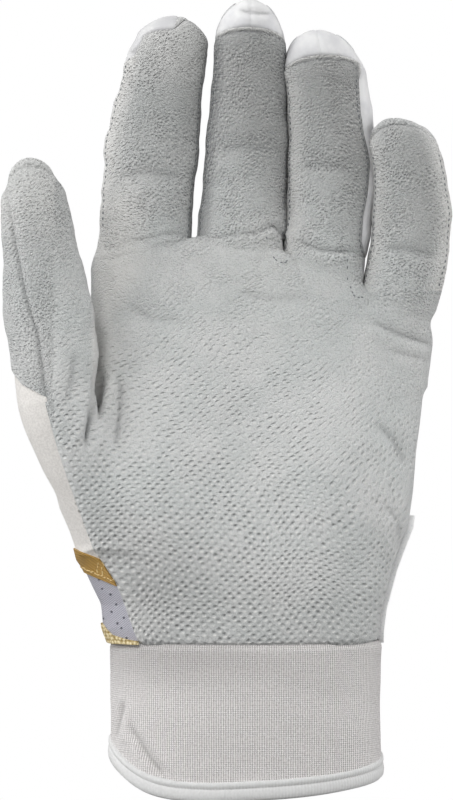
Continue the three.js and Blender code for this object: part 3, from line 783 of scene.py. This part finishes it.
grey_thread = thread("grey_thread", "#8c8f91", 0.7, "#5c6062", "#84888a")
LEATHER_STITCH, LEATHER_PITCH = stitch_group(1.0 * MM, 0.5 * MM, grey_thread), 1.8
LOOP_RADIUS, LOOP_LIFT = 2.2, 1.7
loops = []
for i in (1, 2):
    turn = np.linspace(0, math.pi, 30)
    foot = crotch_top(i) + LOOP_LIFT
    leg = np.linspace(SLEEVES[FINGERS[i]]["root"][2], foot, 20)
    x = np.concatenate([np.full(20, -LOOP_RADIUS), -LOOP_RADIUS * np.cos(turn)]) + gap_x(i, crotch_top(i) + 4)
    loops.append(np.stack([x, np.full(50, STITCH_FAR), np.concatenate([leg, foot - LOOP_RADIUS * np.sin(turn)])], 1))
fit(stitches("palm_stitches", palm_piece, loops, LEATHER_STITCH, LEATHER_PITCH, 0.1), "hand")

# Back of the hand
# Smooth white leather over the knuckles, sewn to the palm leather along both edges of the hand.
BACK_FAR = 30.0
smooth, shader, rest = new_material("smooth_leather", "#e9eaeb", 0.5)
pebble = texture("Voronoi", rest, 1.6)
height = times(texture("Noise", rest, 0.3, Detail=4.0), 1.5, pebble)
cover(shader, tint("#c6c7c9", "#d6d6d7", ramp(pebble, 0.1, 0.6)), height, 0.07)
back_piece = hand_panel("back_of_hand_panel", back_of_hand, smooth, ["back_of_hand"], PANEL_LIFT,
                        back_of_hand[0][:, 7] - PALM_WRAP)
white_thread = thread("white_thread", "#d9d9d9", 0.6, "#b4b5b7", "#dcdddd")
WHITE_STITCH, WHITE_PITCH = stitch_group(1.5 * MM, 0.5 * MM, white_thread), 2.2
rows = []
for i in range(3):
    gap = gap_x(i, np.array(GAP_LEVEL))
    z = np.linspace(knuckle_top(gap) - 4, 100, 60)
    for side in (-1.2, 1.2):
        rows.append(np.stack([gap * (0.55 + 0.45 * (z - 100) / 60) + side, np.full(60, BACK_FAR), z], 1))
for level in (PLEATS[0] - 2.6, PLEATS[-1] + 2.6):
    x = np.linspace(-36, 44, 80)
    rows.append(np.stack([x, np.full(80, BACK_FAR), knuckle_top(x) - level], 1))
fit(stitches("back_stitches", back_piece, rows, WHITE_STITCH, WHITE_PITCH), "hand")

# Crotch webs
# The feet of the finger sidewalls: soft white stretch leather sewn in between each two fingers.
wall_cloth, shader, rest = new_material("sidewall_leather", "#dcdde0", 0.6)
weave = texture("Noise", rest, 1.8, Detail=3.0)
colour = tint("#d2d2d4", "#e2e2e2", ramp(texture("Noise", rest, 0.2, Detail=3.0), 0.3, 0.7))
# Painted shade: darker by the mark of painted shade (on the crotch webs and on the index finger's left sidewall), and
# along the lines of painted shade at the seams.
colour = tint(colour, "#8f8f90", times(mark(shader, "soil"), 0.3, clamp=True))
cover(shader, tint(colour, "#6e6e70", times(mark(shader, "fold"), 0.8, clamp=True)), weave, 0.06)
hand_panel("crotch_webs", webs, wall_cloth, ["web_index_middle", "web_middle_ring", "web_ring_pinky"], -0.3)

# Thumb gusset
# Warm grey stretch knit between the thumb and the stripe, let in behind the edge of the palm leather.
LET_IN = -0.15
STRIPE_TOP, STRIPE_LOW, STRIPE_SLOPE = 72.5, 66.7, 0.4


def along_stripe(x, level):
    """Height of a line that runs along the slanting stripe."""
    return level - STRIPE_SLOPE * (x + 46)


x, y, z = form_of(side_panels)
lower, gusset = cut(*side_panels, z - along_stripe(x, STRIPE_TOP))
stretch, shader, rest = new_material("stretch_knit", "#dad6d1", 0.9, 0.2)
speck = texture("Noise", rest, 1.6, Detail=4.0)
cover(shader, tint("#d0cdc9", "#dfdcd8", ramp(speck, 0.35, 0.65)), speck, 0.12)
hand_panel("thumb_gusset_panel", gusset, stretch, ["thumb_gusset"], LET_IN)

# Gold stripe
# A woven gold ribbon across the thumb side, sewn down with paler thread along its lower edge and by two short bars.
x, y, z = form_of(lower)
lower, stripe = cut(*lower, z - along_stripe(x, STRIPE_LOW))
gold, shader, rest = new_material("gold_ribbon", "#b08a44", 0.45)
twill = texture("Wave", turned(rest, math.radians(22)), 0.7, Distortion=0.6, bands_direction="Z")
woven = math_node("ADD", twill, texture("Noise", rest, 1.2, Detail=3.0))
cover(shader, tint("#876831", "#b5904a", ramp(times(woven, 0.5), 0.25, 0.75)), woven, 0.08)
stripe_piece = hand_panel("gold_stripe_band", stripe, gold, ["gold_stripe"], 0.45)
pale_thread = thread("pale_gold_thread", "#d9bf85", 0.5, "#b9995a", "#ead5a4")
x, y, z = form_of(stripe)
near = np.abs(z - along_stripe(x, 67.9)) < 0.35
rows = [stripe[0][near, :3][np.argsort(y[near])]]
for across in (-44.2, -42.9):
    near = (np.abs(x - across) < 0.3) & (np.abs(z - along_stripe(x, 69.9)) < 2.2) & (y < 0)
    rows.append(stripe[0][near, :3][np.argsort(z[near])])
fit(stitches("gold_stripe_stitches", stripe_piece, rows, stitch_group(1.0 * MM, 0.45 * MM, pale_thread), 1.25),
    "hand")

# Vent panel
# Lilac-grey spacer mesh with small holes, between the stripe and the tape on the thumb side.
x, y, z = form_of(lower)
tape, vent = cut(*lower, z - np.interp(x, [-46, -43.2, -40, -36, -33], [53.5, 51.8, 48.9, 47.9, 47.5]))
vent_mesh, shader, rest = new_material("vent_mesh", "#bfbeca", 0.8)
slanted = turned(rest, math.radians(-50))
lines = texture("Wave", slanted, 0.6, bands_direction="X")
pierced = ramp(texture("Voronoi", in_plane(slanted), 0.3, Randomness=0.5, voronoi_dimensions="2D"), 0.06, 0.14, 1, 0)
cover(shader, tint(tint("#a3a2ab", "#b0afb8", lines), "#5f5f68", pierced), times(pierced, -3.0, lines), 0.12)
hand_panel("vent_mesh_panel", vent, vent_mesh, ["vent_panel"], LET_IN)

# Edge tape
# A tan knitted tape that turns the lower edge of the vent panel over the top of the cuff.
tan, shader, rest = new_material("tan_tape", "#d8c392", 0.8)
knots = texture("Voronoi", rest, 0.9, Randomness=0.4)
cover(shader, tint("#e8dab2", "#9a8350", ramp(knots, 0.2, 0.75)), math_node("SUBTRACT", 1.0, knots), 0.3)
hand_panel("edge_tape_band", tape, tan, ["edge_tape"], 0.5)

# Finger sleeves
# Each finger has a front of nap leather, a smooth back, and two thin sidewalls that meet over the domed tip.
# The front of the middle and ring fingers stops short of the tip with a raw edge.
SLEEVE_STEP, SLEEVE_LOW, SLEEVE_SIDE = 0.8, (-17, -15, -2.7), (17, 15)
SIDE_INSET = {"index": (0.3, 0.3), "middle": (0.3, 0.3), "ring": (0.3, 2.6), "pinky": (0.3, 0.6)}
# Width of the ring finger's right sidewall on its way up.
WALL_UP = [0, 5, 12, 28, 38, 44, 56]
RING_WALL = [0.4, 2.7, 3.2, 2.3, 3.4, 3.6, 2.2]
OUTER_SIDE = {"index": -1, "pinky": 1}
RAW_FRONTS = ("middle", "ring")
BACK_CAP = 1.2
FINGER_PLEATS = (0.32, 0.375, 0.43, 0.68)
PUCKER, PUCKER_PITCH = 0.12, 12.5
LEATHER_WALLS = [("index", "right_sidewall"), ("pinky", "left_sidewall"), ("pinky", "right_sidewall")]
# Painted shade on each finger: over all, towards its right side and towards its tip.
PAINTED_SHADE_MORE = {"middle": 0.4, "ring": 0.2, "index": 0.1}
PAINTED_SHADE_SIDE = {"index": 0.3, "middle": 0.7, "ring": 0.9, "pinky": 0.8}
PAINTED_SHADE_UP = {"index": 0.0, "middle": 0.9, "ring": 0.6, "pinky": 0.0}
# Painted light and painted shade along the left and right edges of each front, and painted light at the tip.
EDGE_PAINTED_LIGHT = {"index": (1.0, 0.0), "middle": (0.0, 0.0), "ring": (0.6, 0.0), "pinky": (0.7, 1.0)}
EDGE_PAINTED_SHADE = {"index": (0.0, 0.0), "middle": (1.3, 0.4), "ring": (0.0, 1.4), "pinky": (0.0, 0.0)}
TIP_PAINTED_LIGHT = {"index": 0.4}
SEAM_STITCH_IN = 1.1


def sleeve_skin(name):
    """The worn skin of a sleeve above its root crease. Columns as for the hand, then across, deep and along."""
    length = SLEEVES[name]["length"]
    points, faces = skin(sleeve_form(name), SLEEVE_LOW, (*SLEEVE_SIDE, length + 2), SLEEVE_STEP)
    points, faces = trim((points, faces), points[:, 2].min() + 0.3 - points[:, 2])
    across, deep, along = points.T
    grooves = sum(np.exp(-((along / length - at) * 60) ** 2) for at in FINGER_PLEATS)
    pleats = -0.7 * grooves * ease((deep - 2) / 4) * (name in FINGERS)
    side = across / sleeve_half(name, along)[0]
    turn = 2 * math.pi * along / PUCKER_PITCH
    puckers = PUCKER * (np.sin(turn + SLEEVES[name]["root"][0]) + 0.8 * np.sin(0.61 * turn) + 0.4 * np.sin(2.3 * turn))
    puckers = np.where((name == "index") & (side < 0), 2.4, 1.0) * puckers
    pleats = pleats + puckers * ease((np.abs(side) - 0.6) / 0.35) * ease(along / 8)
    skin_points, faces = worn(from_sleeve(name, across, deep, along), faces, pleats)
    return trim((np.hstack([skin_points, points]), faces), -along)


def below_tip(name, panel, reach, length):
    """A share that grows towards the fingertip, over a length that starts at reach below it."""
    return ease((panel[0][:, 12] - SLEEVES[name]["length"] + reach) / length)


def sleeve_panel(name, part, panel, material, shift, line=0.0, raw=0.0):
    """A panel of a sleeve, moved off the form by shift."""
    points, faces = panel
    along = points[:, 12]
    place, normals = lifted(panel, shift, along)
    marks = leather_marks(points)
    soil, painted_light, folded = marks["soil"], marks["raw"], np.maximum(marks["fold"], line)
    if name in FINGERS:
        side = points[:, 10] / sleeve_half(name, along)[0]
        # Painted shade on the fingers: more towards the right side and, on some, towards the tip.
        soil = soil + PAINTED_SHADE_SIDE[name] * ease((side + 0.6) / 1.4) * ease((along + 4) / 16) - 0.35
        soil = soil + PAINTED_SHADE_UP[name] * (ease((along - 8) / 45) - 0.5)
        # Painted light: the little finger's right edge is kept lighter.
        if name == "pinky":
            soil = soil - 0.9 * ease((side - 0.3) / 0.7)
        # Painted light at the tip and along the edges, and painted shade along the edges of the front.
        painted_light = np.maximum(painted_light, TIP_PAINTED_LIGHT.get(name, 0.0) * below_tip(name, panel, 26, 14))
        for edge, edge_light, edge_shade in zip((-side, side), EDGE_PAINTED_LIGHT[name], EDGE_PAINTED_SHADE[name]):
            painted_light = np.maximum(painted_light, edge_light * ease((edge - 0.4) / 0.6))
            folded = np.maximum(folded, edge_shade * ease((edge - 0.55) / 0.4) * ("front" in part))
    # More painted shade on some fingers; none on the sidewalls but the index finger's left one.
    soil = np.clip(soil + PAINTED_SHADE_MORE.get(name, 0.0), 0, 1.6) * ("wall" not in part)
    soil = soil + 0.7 * (f"{name}_{part}" == "index_left_sidewall")
    marks.update(soil=soil, raw=np.maximum(painted_light, raw), fold=folded)
    piece = make_piece(f"{name}_{part}_panel", place, faces, normals, rest=points[:, 6:9], marks=marks)
    return fit(piece, name, [f"{name}_{part}"], material)


def cap_of(name, u):
    """How far the front stops short of the tip. On the index finger it runs over the tip on one side."""
    cap = SLEEVES[name]["front_cap"]
    return 0.4 + (cap - 0.4) * ease((3.5 - u) / 4) if name == "index" else cap


def sleeve_edges(name, panel_points):
    """Front and back outlines, below 0 inside. On the outer side of the row the sidewall ends at the root."""
    u, w, a = panel_points[:, 10:13].T
    outer_side = OUTER_SIDE.get(name, 0)
    grow = 1 - ease(a / 14)
    lean = 1.5 * grow * (u * outer_side > 0)
    inset = [side - 2.0 * grow if outer_side == sign else side + 0 * a
             for side, sign in zip(SIDE_INSET[name], (-1, 1))]
    if name == "ring":
        inset[1] = np.interp(a, WALL_UP, RING_WALL)
    if name == "index":
        inset[0] = inset[0] + 3.0 * ease((a - SLEEVES[name]["length"] + 17) / 8)
    front = np.maximum(tongue(name, u, a, *inset, cap_of(name, u)), w - lean)
    return front, np.maximum(tongue(name, u, a, *inset, BACK_CAP), lean - w)


def seam_path(name, side, inset, a):
    """A line up the front of a sleeve at a distance from its edge."""
    half_u, half_w = sleeve_half(name, a)
    u = side * (half_u - inset)
    w = -half_w * (1 - (np.abs(u) / half_u) ** SLEEVE_POWER) ** (1 / SLEEVE_POWER)
    return from_sleeve(name, u, w, a)


fronts = {}
for name in FINGERS:
    points, faces = sleeve_skin(name)
    front, rest_of = cut(points, faces, sleeve_edges(name, points)[0])
    back, walls = cut(*rest_of, sleeve_edges(name, rest_of[0])[1])
    left_wall, right_wall = cut(*walls, walls[0][:, 10])
    raw = below_tip(name, front, SLEEVES[name]["front_cap"] + 8, 4) * (name in RAW_FRONTS)
    raw = raw * ease((-front[0][:, 11] - 1.5) / 3)
    seam = sleeve_edges(name, front[0])[0]
    # The front carries painted shade along its seams and just inside its raw edge; the raw edge itself is paler.
    fronts[name] = sleeve_panel(name, "front", front, leather,
                                PANEL_LIFT - SEAM_GROOVE * bell(seam, SEAM_WIDTH) * (1 - raw) + 0.35 * raw,
                                bell(seam + 1.3 * raw, 0.45) * (0.5 + 0.4 * raw), bell(seam, 0.6) * 0.9 * raw)
    seam = sleeve_edges(name, back[0])[1]
    sleeve_panel(name, "back", back, smooth,
                 PANEL_LIFT - SEAM_GROOVE * (1 - 0.85 * below_tip(name, back, 9, 6)) * bell(seam, SEAM_WIDTH))
    # Each sidewall carries painted shade along its seams near the tip.
    for part, wall in (("left_sidewall", left_wall), ("right_sidewall", right_wall)):
        seam = np.minimum(*[np.abs(e) for e in sleeve_edges(name, wall[0])])
        sleeve_panel(name, part, wall, leather if (name, part) in LEATHER_WALLS else wall_cloth,
                     -0.1 - 0.4 * bell(seam, 0.8) - 0.25 * bell(wall[0][:, 10], 0.35),
                     0.8 * bell(seam, 0.5) * below_tip(name, wall, 16, 6))

for name in FINGERS:
    info = SLEEVES[name]
    a = np.linspace(1, info["length"] - info["front_cap"] - info["arch"] - 1, 60)
    insets = [inset + SEAM_STITCH_IN + 0 * a for inset in SIDE_INSET[name]]
    if name == "ring":
        insets[1] = SEAM_STITCH_IN + np.interp(a, WALL_UP, RING_WALL)
    paths = [seam_path(name, side, inset, a) for side, inset in zip((-1, 1), insets)]
    fit(stitches(name + "_front_stitches", fronts[name], paths, LEATHER_STITCH, LEATHER_PITCH), name)

# Thumb
# The front panel and the wrapped outer panel of nap leather are sewn together along the outer edge.
# The outer panel ends in a raw arc over the stretch gusset.
THUMB_SEAM_UP, THUMB_SEAM_IN = [0, 20, 27, 47, 66], [9.6, 9.4, 8.0, 3.8, 2.4]
ARC_X, ARC_Z = [-70.2, -66, -59.7, -57], [128.7, 123.9, 120.6, 119]


def thumb_front_edge(panel_points):
    u, w, a = panel_points[:, 10:13].T
    left = np.interp(a, THUMB_SEAM_UP, THUMB_SEAM_IN)
    return np.maximum(tongue("thumb", u, a, left, 0 * a - 0.5, 2.4), w - 1.5)


points, faces = sleeve_skin("thumb")
thumb_front, rest_of = cut(points, faces, thumb_front_edge(points))
x, y, z = form_of(rest_of)
gusset_top, thumb_back = cut(*rest_of, np.where(rest_of[0][:, 10] < 0, z - np.interp(x, ARC_X, ARC_Z), 1.0))
for part, panel, lift, pull in (("front", thumb_front, PANEL_LIFT, SEAM_GROOVE), ("back", thumb_back, 0.45, 0.75)):
    seam = thumb_front_edge(panel[0])
    # Painted shade along the thumb's seam.
    sleeve_panel("thumb", part, panel, leather, lift - pull * bell(seam, 0.8), 0.5 * bell(seam, 0.5))
points, faces = gusset_top
piece = make_piece("thumb_gusset_top", points[:, :3] + LET_IN * points[:, 3:6], faces, points[:, 3:6],
                   rest=points[:, 6:9])
fit(piece, "thumb", material=stretch)

# Cuff
# A knit tube, ribbed up and down, sewn to the lower edge of the hand and creased where the wrist bends.
CUFF_HALF = (41.0, 25.0)
CUFF_POWER = 2.3
RING, CUFF_ROWS = 480, 130
CUFF_THICK = 1.8
CUFF_TUCKS = ([(124, 698), (121, 708), (117, 722), (112, 745)], [(128, 720), (134, 732), (147, 752), (170, 780)])


def cuff_ring(out):
    angle = np.linspace(0, 2 * math.pi, RING, endpoint=False)
    c, s = np.cos(angle), np.sin(angle)
    return (np.sign(c) * np.abs(c) ** (2 / CUFF_POWER) * (CUFF_HALF[0] + out),
            np.sign(s) * np.abs(s) ** (2 / CUFF_POWER) * (CUFF_HALF[1] + out))


def rim_height(x, y):
    """The slanting lower rim, high at the back and at both sides."""
    return 0.16 * (y + 25) + 7.7 * (np.maximum(0, -x - 15) / 25.8) ** 3 + 2.5 * np.maximum(0, x + 10) / 50.8


def halves(quad):
    """Two triangles from each four-cornered face."""
    return np.concatenate([quad[:, [0, 1, 2]], quad[:, [0, 2, 3]]])


def tube(rings):
    """Points and triangles of rings joined in a row, from the bottom up, and the way round in millimetres."""
    rows = len(rings)
    i = np.arange(rows - 1)[:, None] * RING + np.arange(RING)[None]
    j = np.arange(rows - 1)[:, None] * RING + (np.arange(RING)[None] + 1) % RING
    quad = np.stack([i, j, j + RING, i + RING], -1).reshape(-1, 4)
    step = np.linalg.norm(np.roll(rings[0], -1, 0)[:, :2] - rings[0][:, :2], axis=1)
    around = np.concatenate([[0], np.cumsum(step)[:-1]])
    points = np.concatenate(rings)
    return points, halves(quad), np.stack([np.tile(around, rows), 0 * points[:, 0], points[:, 2]], 1)


rib_knit, shader, rest = new_material("rib_knit", "#dedbd9", 0.95, 0.25)
ribs = texture("Wave", rest, 0.44, Distortion=0.3, bands_direction="X")
courses = texture("Wave", rest, 0.5, Distortion=0.6, bands_direction="Z")
fuzz = texture("Noise", rest, 1.4, Detail=4.0)
loop = times(ribs, times(courses, 0.6, 0.4))
knit = tint("#b4b0af", "#ebe8e7", ramp(times(math_node("ADD", loop, fuzz), 0.6), 0.2, 0.66))
# Painted shade darkens the knit towards #8f8c8b where the mark of painted shade lies.
cover(shader, tint(knit, "#8f8c8b", mark(shader, "soil")), math_node("ADD", times(courses, 0.6, ribs), fuzz), 0.16)
x, y = cuff_ring(0)
low = rim_height(x, y) + 2
rings = [np.stack([x, y, low + (CUFF_TOP + 0.8 - low) * h], 1) for h in np.linspace(0, 1, CUFF_ROWS)]
points, faces, knit_rest = tube(rings)
normals = normals_of(points, faces)
push = 0.55 * waves(points, 44, 8) + 0.2 * waves(points, 17, 9) - 0.5 * ease((points[:, 2] - CUFF_TOP + 1.2) / 1.6)
tuck_shade = np.zeros(len(points))
# Each tuck is pressed in and also darkened along its line as painted shade.
for path in CUFF_TUCKS:
    pressed, line = fold(points, normals, path, 1.4, 1.0)
    push, tuck_shade = push + pressed, tuck_shade + 0.45 * line
points = points + push[:, None] * normals
# Painted shade: the knit is darker towards its top under the palm, more on the left side.
cuff_top_shade = 0.45 * ease((points[:, 2] - 28) / 16) * (0.3 + 0.7 * ease((30 - points[:, 0]) / 60))
cuff = make_piece("cuff_tube", points, faces, normals_of(points, faces), rest=knit_rest, edge_depth=CUFF_THICK,
                  marks={"soil": cuff_top_shade + tuck_shade})
fit(cuff, "hand", ["cuff_front", "cuff_back"], rib_knit)

# Cuff binding
# White tape folded round the rim of the cuff, with a stitched groove along its middle.
BINDING_PROFILE = [(-2.6, 5.0), (-2.8, 1.2), (-2.2, 0.2), (-0.8, -0.1), (0.1, 0.1), (0.65, 0.6), (0.85, 1.7),
                   (0.75, 3.0), (0.35, 3.6), (0.2, 3.8), (0.4, 4.0), (0.75, 4.6), (0.7, 5.3), (0.35, 5.8), (-0.4, 5.9)]
binding_tape, shader, rest = new_material("binding_tape", "#f0f0ef", 0.7)
fuzz = texture("Noise", rest, 1.2, Detail=3.0)
cords = texture("Wave", rest, 0.35, bands_direction="X")
cover(shader, tint("#c9c9c9", "#dededd", fuzz), math_node("ADD", cords, fuzz), 0.05)
rim_line = rim_height(*cuff_ring(0))
points, faces, tape_rest = tube([np.stack([*cuff_ring(out), rim_line + height], 1) for out, height in BINDING_PROFILE])
points = points + (0.25 * waves(points, 24, 12))[:, None] * normals_of(points, faces)
binding = make_piece("cuff_binding_tape", points, faces, normals_of(points, faces), rest=tape_rest, edge_depth=None)
fit(binding, "hand", ["cuff_binding"], binding_tape)

# Wrist closure
# A padded strap root is sewn to the back of the wrist. Its tab wraps to the little-finger side and is held by a
# hook patch under the tab that grips a loop patch on the hand.
STRAP_LOW, STRAP_END_Y = 46.0, -5.0
STRAP_COLUMNS, STRAP_ROWS = 90, 36
PATCH_LOW, PATCH_HIGH, PATCH_FROM_X, PATCH_END_Y = 53.0, 75.0, 8.0, 11.0
ROOT_THICK, TAB_THICK, PATCH_THICK = 1.6, 1.7, 0.4


def strap_top(x):
    return STRAP_LOW + 26.6 + 10.4 * (x + 40) / 80.8


def patch_top(x):
    return PATCH_HIGH + 0 * x


def reach_angle(reach, half):
    """Share of an oval's half width or depth, as the sine or cosine of the angle round the oval."""
    return np.sign(reach) * np.clip(abs(reach) / half, 0, 1) ** (HAND_POWER / 2)


def wrap(from_x, end_y, low, high, offset, round_end=0.0, press=0.0, to_x=None):
    """A layer over the back of the wrist, from a line across it to another, or round to the little-finger side."""
    t = np.linspace(0, 1, STRAP_COLUMNS)[None, :]
    v = np.linspace(0, 1, STRAP_ROWS)[:, None]
    corner = round_end * ((2 * v - 1) ** 8)
    offset = offset - press * ease((t - 0.72) / 0.2)
    x = np.zeros((STRAP_ROWS, STRAP_COLUMNS))
    for _ in range(6):
        z = low + (high(x) - low) * v
        up, side = hand_side(x, z)
        right = side + offset
        deep = np.interp(up, HAND_UP, HAND_BACK) + offset
        begin = np.arccos(reach_angle(from_x, right))
        if to_x is None:
            stop = np.arcsin(reach_angle(end_y, deep)) + corner / right
        else:
            stop = np.arccos(reach_angle(to_x, right))
        angle = begin + (stop - begin) * t
        c, s = np.cos(angle), np.sin(angle)
        x = np.sign(c) * np.abs(c) ** (2 / HAND_POWER) * right
        y = np.sign(s) * np.abs(s) ** (2 / HAND_POWER) * deep
    i = (np.arange(STRAP_ROWS - 1)[:, None] * STRAP_COLUMNS + np.arange(STRAP_COLUMNS - 1)[None]).ravel()
    quad = np.stack([i, i + STRAP_COLUMNS, i + STRAP_COLUMNS + 1, i + 1], 1)
    return np.stack([x, y, z], -1).reshape(-1, 3), halves(quad)


def strap_piece(name, layer, material, node, body, thick):
    """A layer of the strap with its cut edge."""
    points, faces = layer
    piece = make_piece(name, points, faces, normals_of(points, faces), edge_depth=thick)
    return fit(piece, body, [node], material)


strap_leather, shader, rest = new_material("strap_leather", "#eceded", 0.5)
pebble = texture("Voronoi", rest, 1.4)
cover(shader, tint("#e2e3e5", "#f3f3f3", ramp(pebble, 0.1, 0.5)), pebble, 0.08)
pile, shader, rest = new_material("loop_pile", "#cfcfcf", 1.0, 0.5)
fuzz = texture("Noise", rest, 1.5, Detail=5.0)
cover(shader, tint("#a9a9ab", "#dcdcdc", ramp(fuzz, 0.35, 0.65)), fuzz, 0.5)
hooks, shader, rest = new_material("hook_rows", "#d4d4d6", 0.6)
hook_rows = texture("Voronoi", rest, 0.8, Randomness=0.0)
cover(shader, tint("#e0e0e2", "#9d9da1", ramp(hook_rows, 0.2, 0.6)), hook_rows, -0.5)
root_layer = wrap(-39.0, 18.0, STRAP_LOW, strap_top, 2.0, to_x=-6.1)
strap_root = strap_piece("strap_root_pad", root_layer, strap_leather, "strap_root", "hand", ROOT_THICK)
loop_layer, hook_layer = (wrap(PATCH_FROM_X, PATCH_END_Y, PATCH_LOW, patch_top, off) for off in (0.8, 1.5))
strap_piece("loop_patch_pile", loop_layer, pile, "loop_patch", "hand", PATCH_THICK)
strap_piece("hook_patch_rows", hook_layer, hooks, "hook_patch", "closure", PATCH_THICK)
tab_layer = wrap(-5.8, STRAP_END_Y, STRAP_LOW, strap_top, 3.1, round_end=2.5, press=1.4)
tab = strap_piece("closure_tab_pad", tab_layer, strap_leather, "closure_tab", "closure", TAB_THICK)
for name, piece, layer, body, end in (("strap_root_stitches", strap_root, root_layer, "hand", -4),
                                      ("closure_tab_stitches", tab, tab_layer, "closure", -18)):
    grid = layer[0].reshape(STRAP_ROWS, STRAP_COLUMNS, 3)
    paths = [grid[2, :end], grid[-3, :end], grid[:, 3], grid[:, end]]
    fit(stitches(name, piece, paths, WHITE_STITCH, WHITE_PITCH), body)

# Studio
# The glove stands on a white sweep, lit softly from above, from both sides and from the rear.
WHITE = (1, 1, 1, 1)
CAMERA_DISTANCE, CAMERA_X, CAMERA_Z = 1.1, -0.00585, 0.1194
VIEW_HEIGHT, SENSOR_HEIGHT = 0.2425, 24
LIGHT_AIM = Vector((0, 0, 0.13))
LIGHTS = (("overhead", (-0.35, -1.0, 0.95), 0.4, 8.0), ("left_fill", (-1.0, -0.7, 0.55), 0.7, 3.4),
          ("left_wall", (-0.9, -0.15, 0.4), 0.8, 5.0), ("right_wall", (0.9, -0.05, 0.2), 1.0, 7.5),
          ("right_fill", (0.9, -0.9, 0.5), 0.9, 2.0), ("rear", (0.0, 0.9, 0.9), 0.9, 3.0))


def white_to_camera(end, lit, shown):
    """Lights the glove with one shader and shows the camera another."""
    seen = add_node(end, "LightPath").outputs["Is Camera Ray"]
    pick = add_node(end, "MixShader", {0: seen, 1: lit.outputs[0], 2: shown.outputs[0]})
    end.id_data.links.new(pick.outputs[0], end.inputs["Surface"])


white, shader, rest = new_material("sweep", "#a0a0a0", 0.9)
glow = add_node(shader, "Emission", {"Color": WHITE, "Strength": 1.0})
white_to_camera(white.node_tree.nodes["Material Output"], shader, glow)
bpy.ops.mesh.primitive_plane_add(size=6, location=(0, 0, -0.0015))
floor = bpy.context.object
floor.name = "sweep"
floor.data.materials.append(white)
camera_data = bpy.data.cameras.new("camera")
camera_data.sensor_fit = "VERTICAL"
camera_data.sensor_height = SENSOR_HEIGHT
camera_data.lens = SENSOR_HEIGHT * CAMERA_DISTANCE / VIEW_HEIGHT
camera = put("camera", camera_data)
camera.location = (CAMERA_X, -CAMERA_DISTANCE, CAMERA_Z)
camera.rotation_euler = (math.pi / 2, 0, 0)
scene = bpy.context.scene
scene.camera = camera
scene.render.resolution_x, scene.render.resolution_y = 453, 800
scene.view_settings.view_transform = "Standard"
world = bpy.data.worlds.new("studio")
scene.world = world
world.use_nodes = True
sky = world.node_tree.nodes["Background"]
up = add_node(sky, "SeparateXYZ", {0: add_node(sky, "TexCoord").outputs["Generated"]}).outputs["Z"]
glow = add_node(sky, "MapRange", {"Value": up, "From Min": -0.4, "From Max": 1.0, "To Min": 0.06, "To Max": 0.34})
world.node_tree.links.new(glow.outputs["Result"], sky.inputs["Strength"])
sky.inputs["Color"].default_value = WHITE
white_to_camera(world.node_tree.nodes["World Output"], sky, add_node(sky, "Background", {"Color": WHITE}))
for name, spot, size, power in LIGHTS:
    light = bpy.data.lights.new(name, "AREA")
    light.size = size
    light.energy = power
    lamp = put(name, light)
    lamp.location = spot
    lamp.rotation_euler = (LIGHT_AIM - Vector(spot)).to_track_quat("-Z", "Y").to_euler()
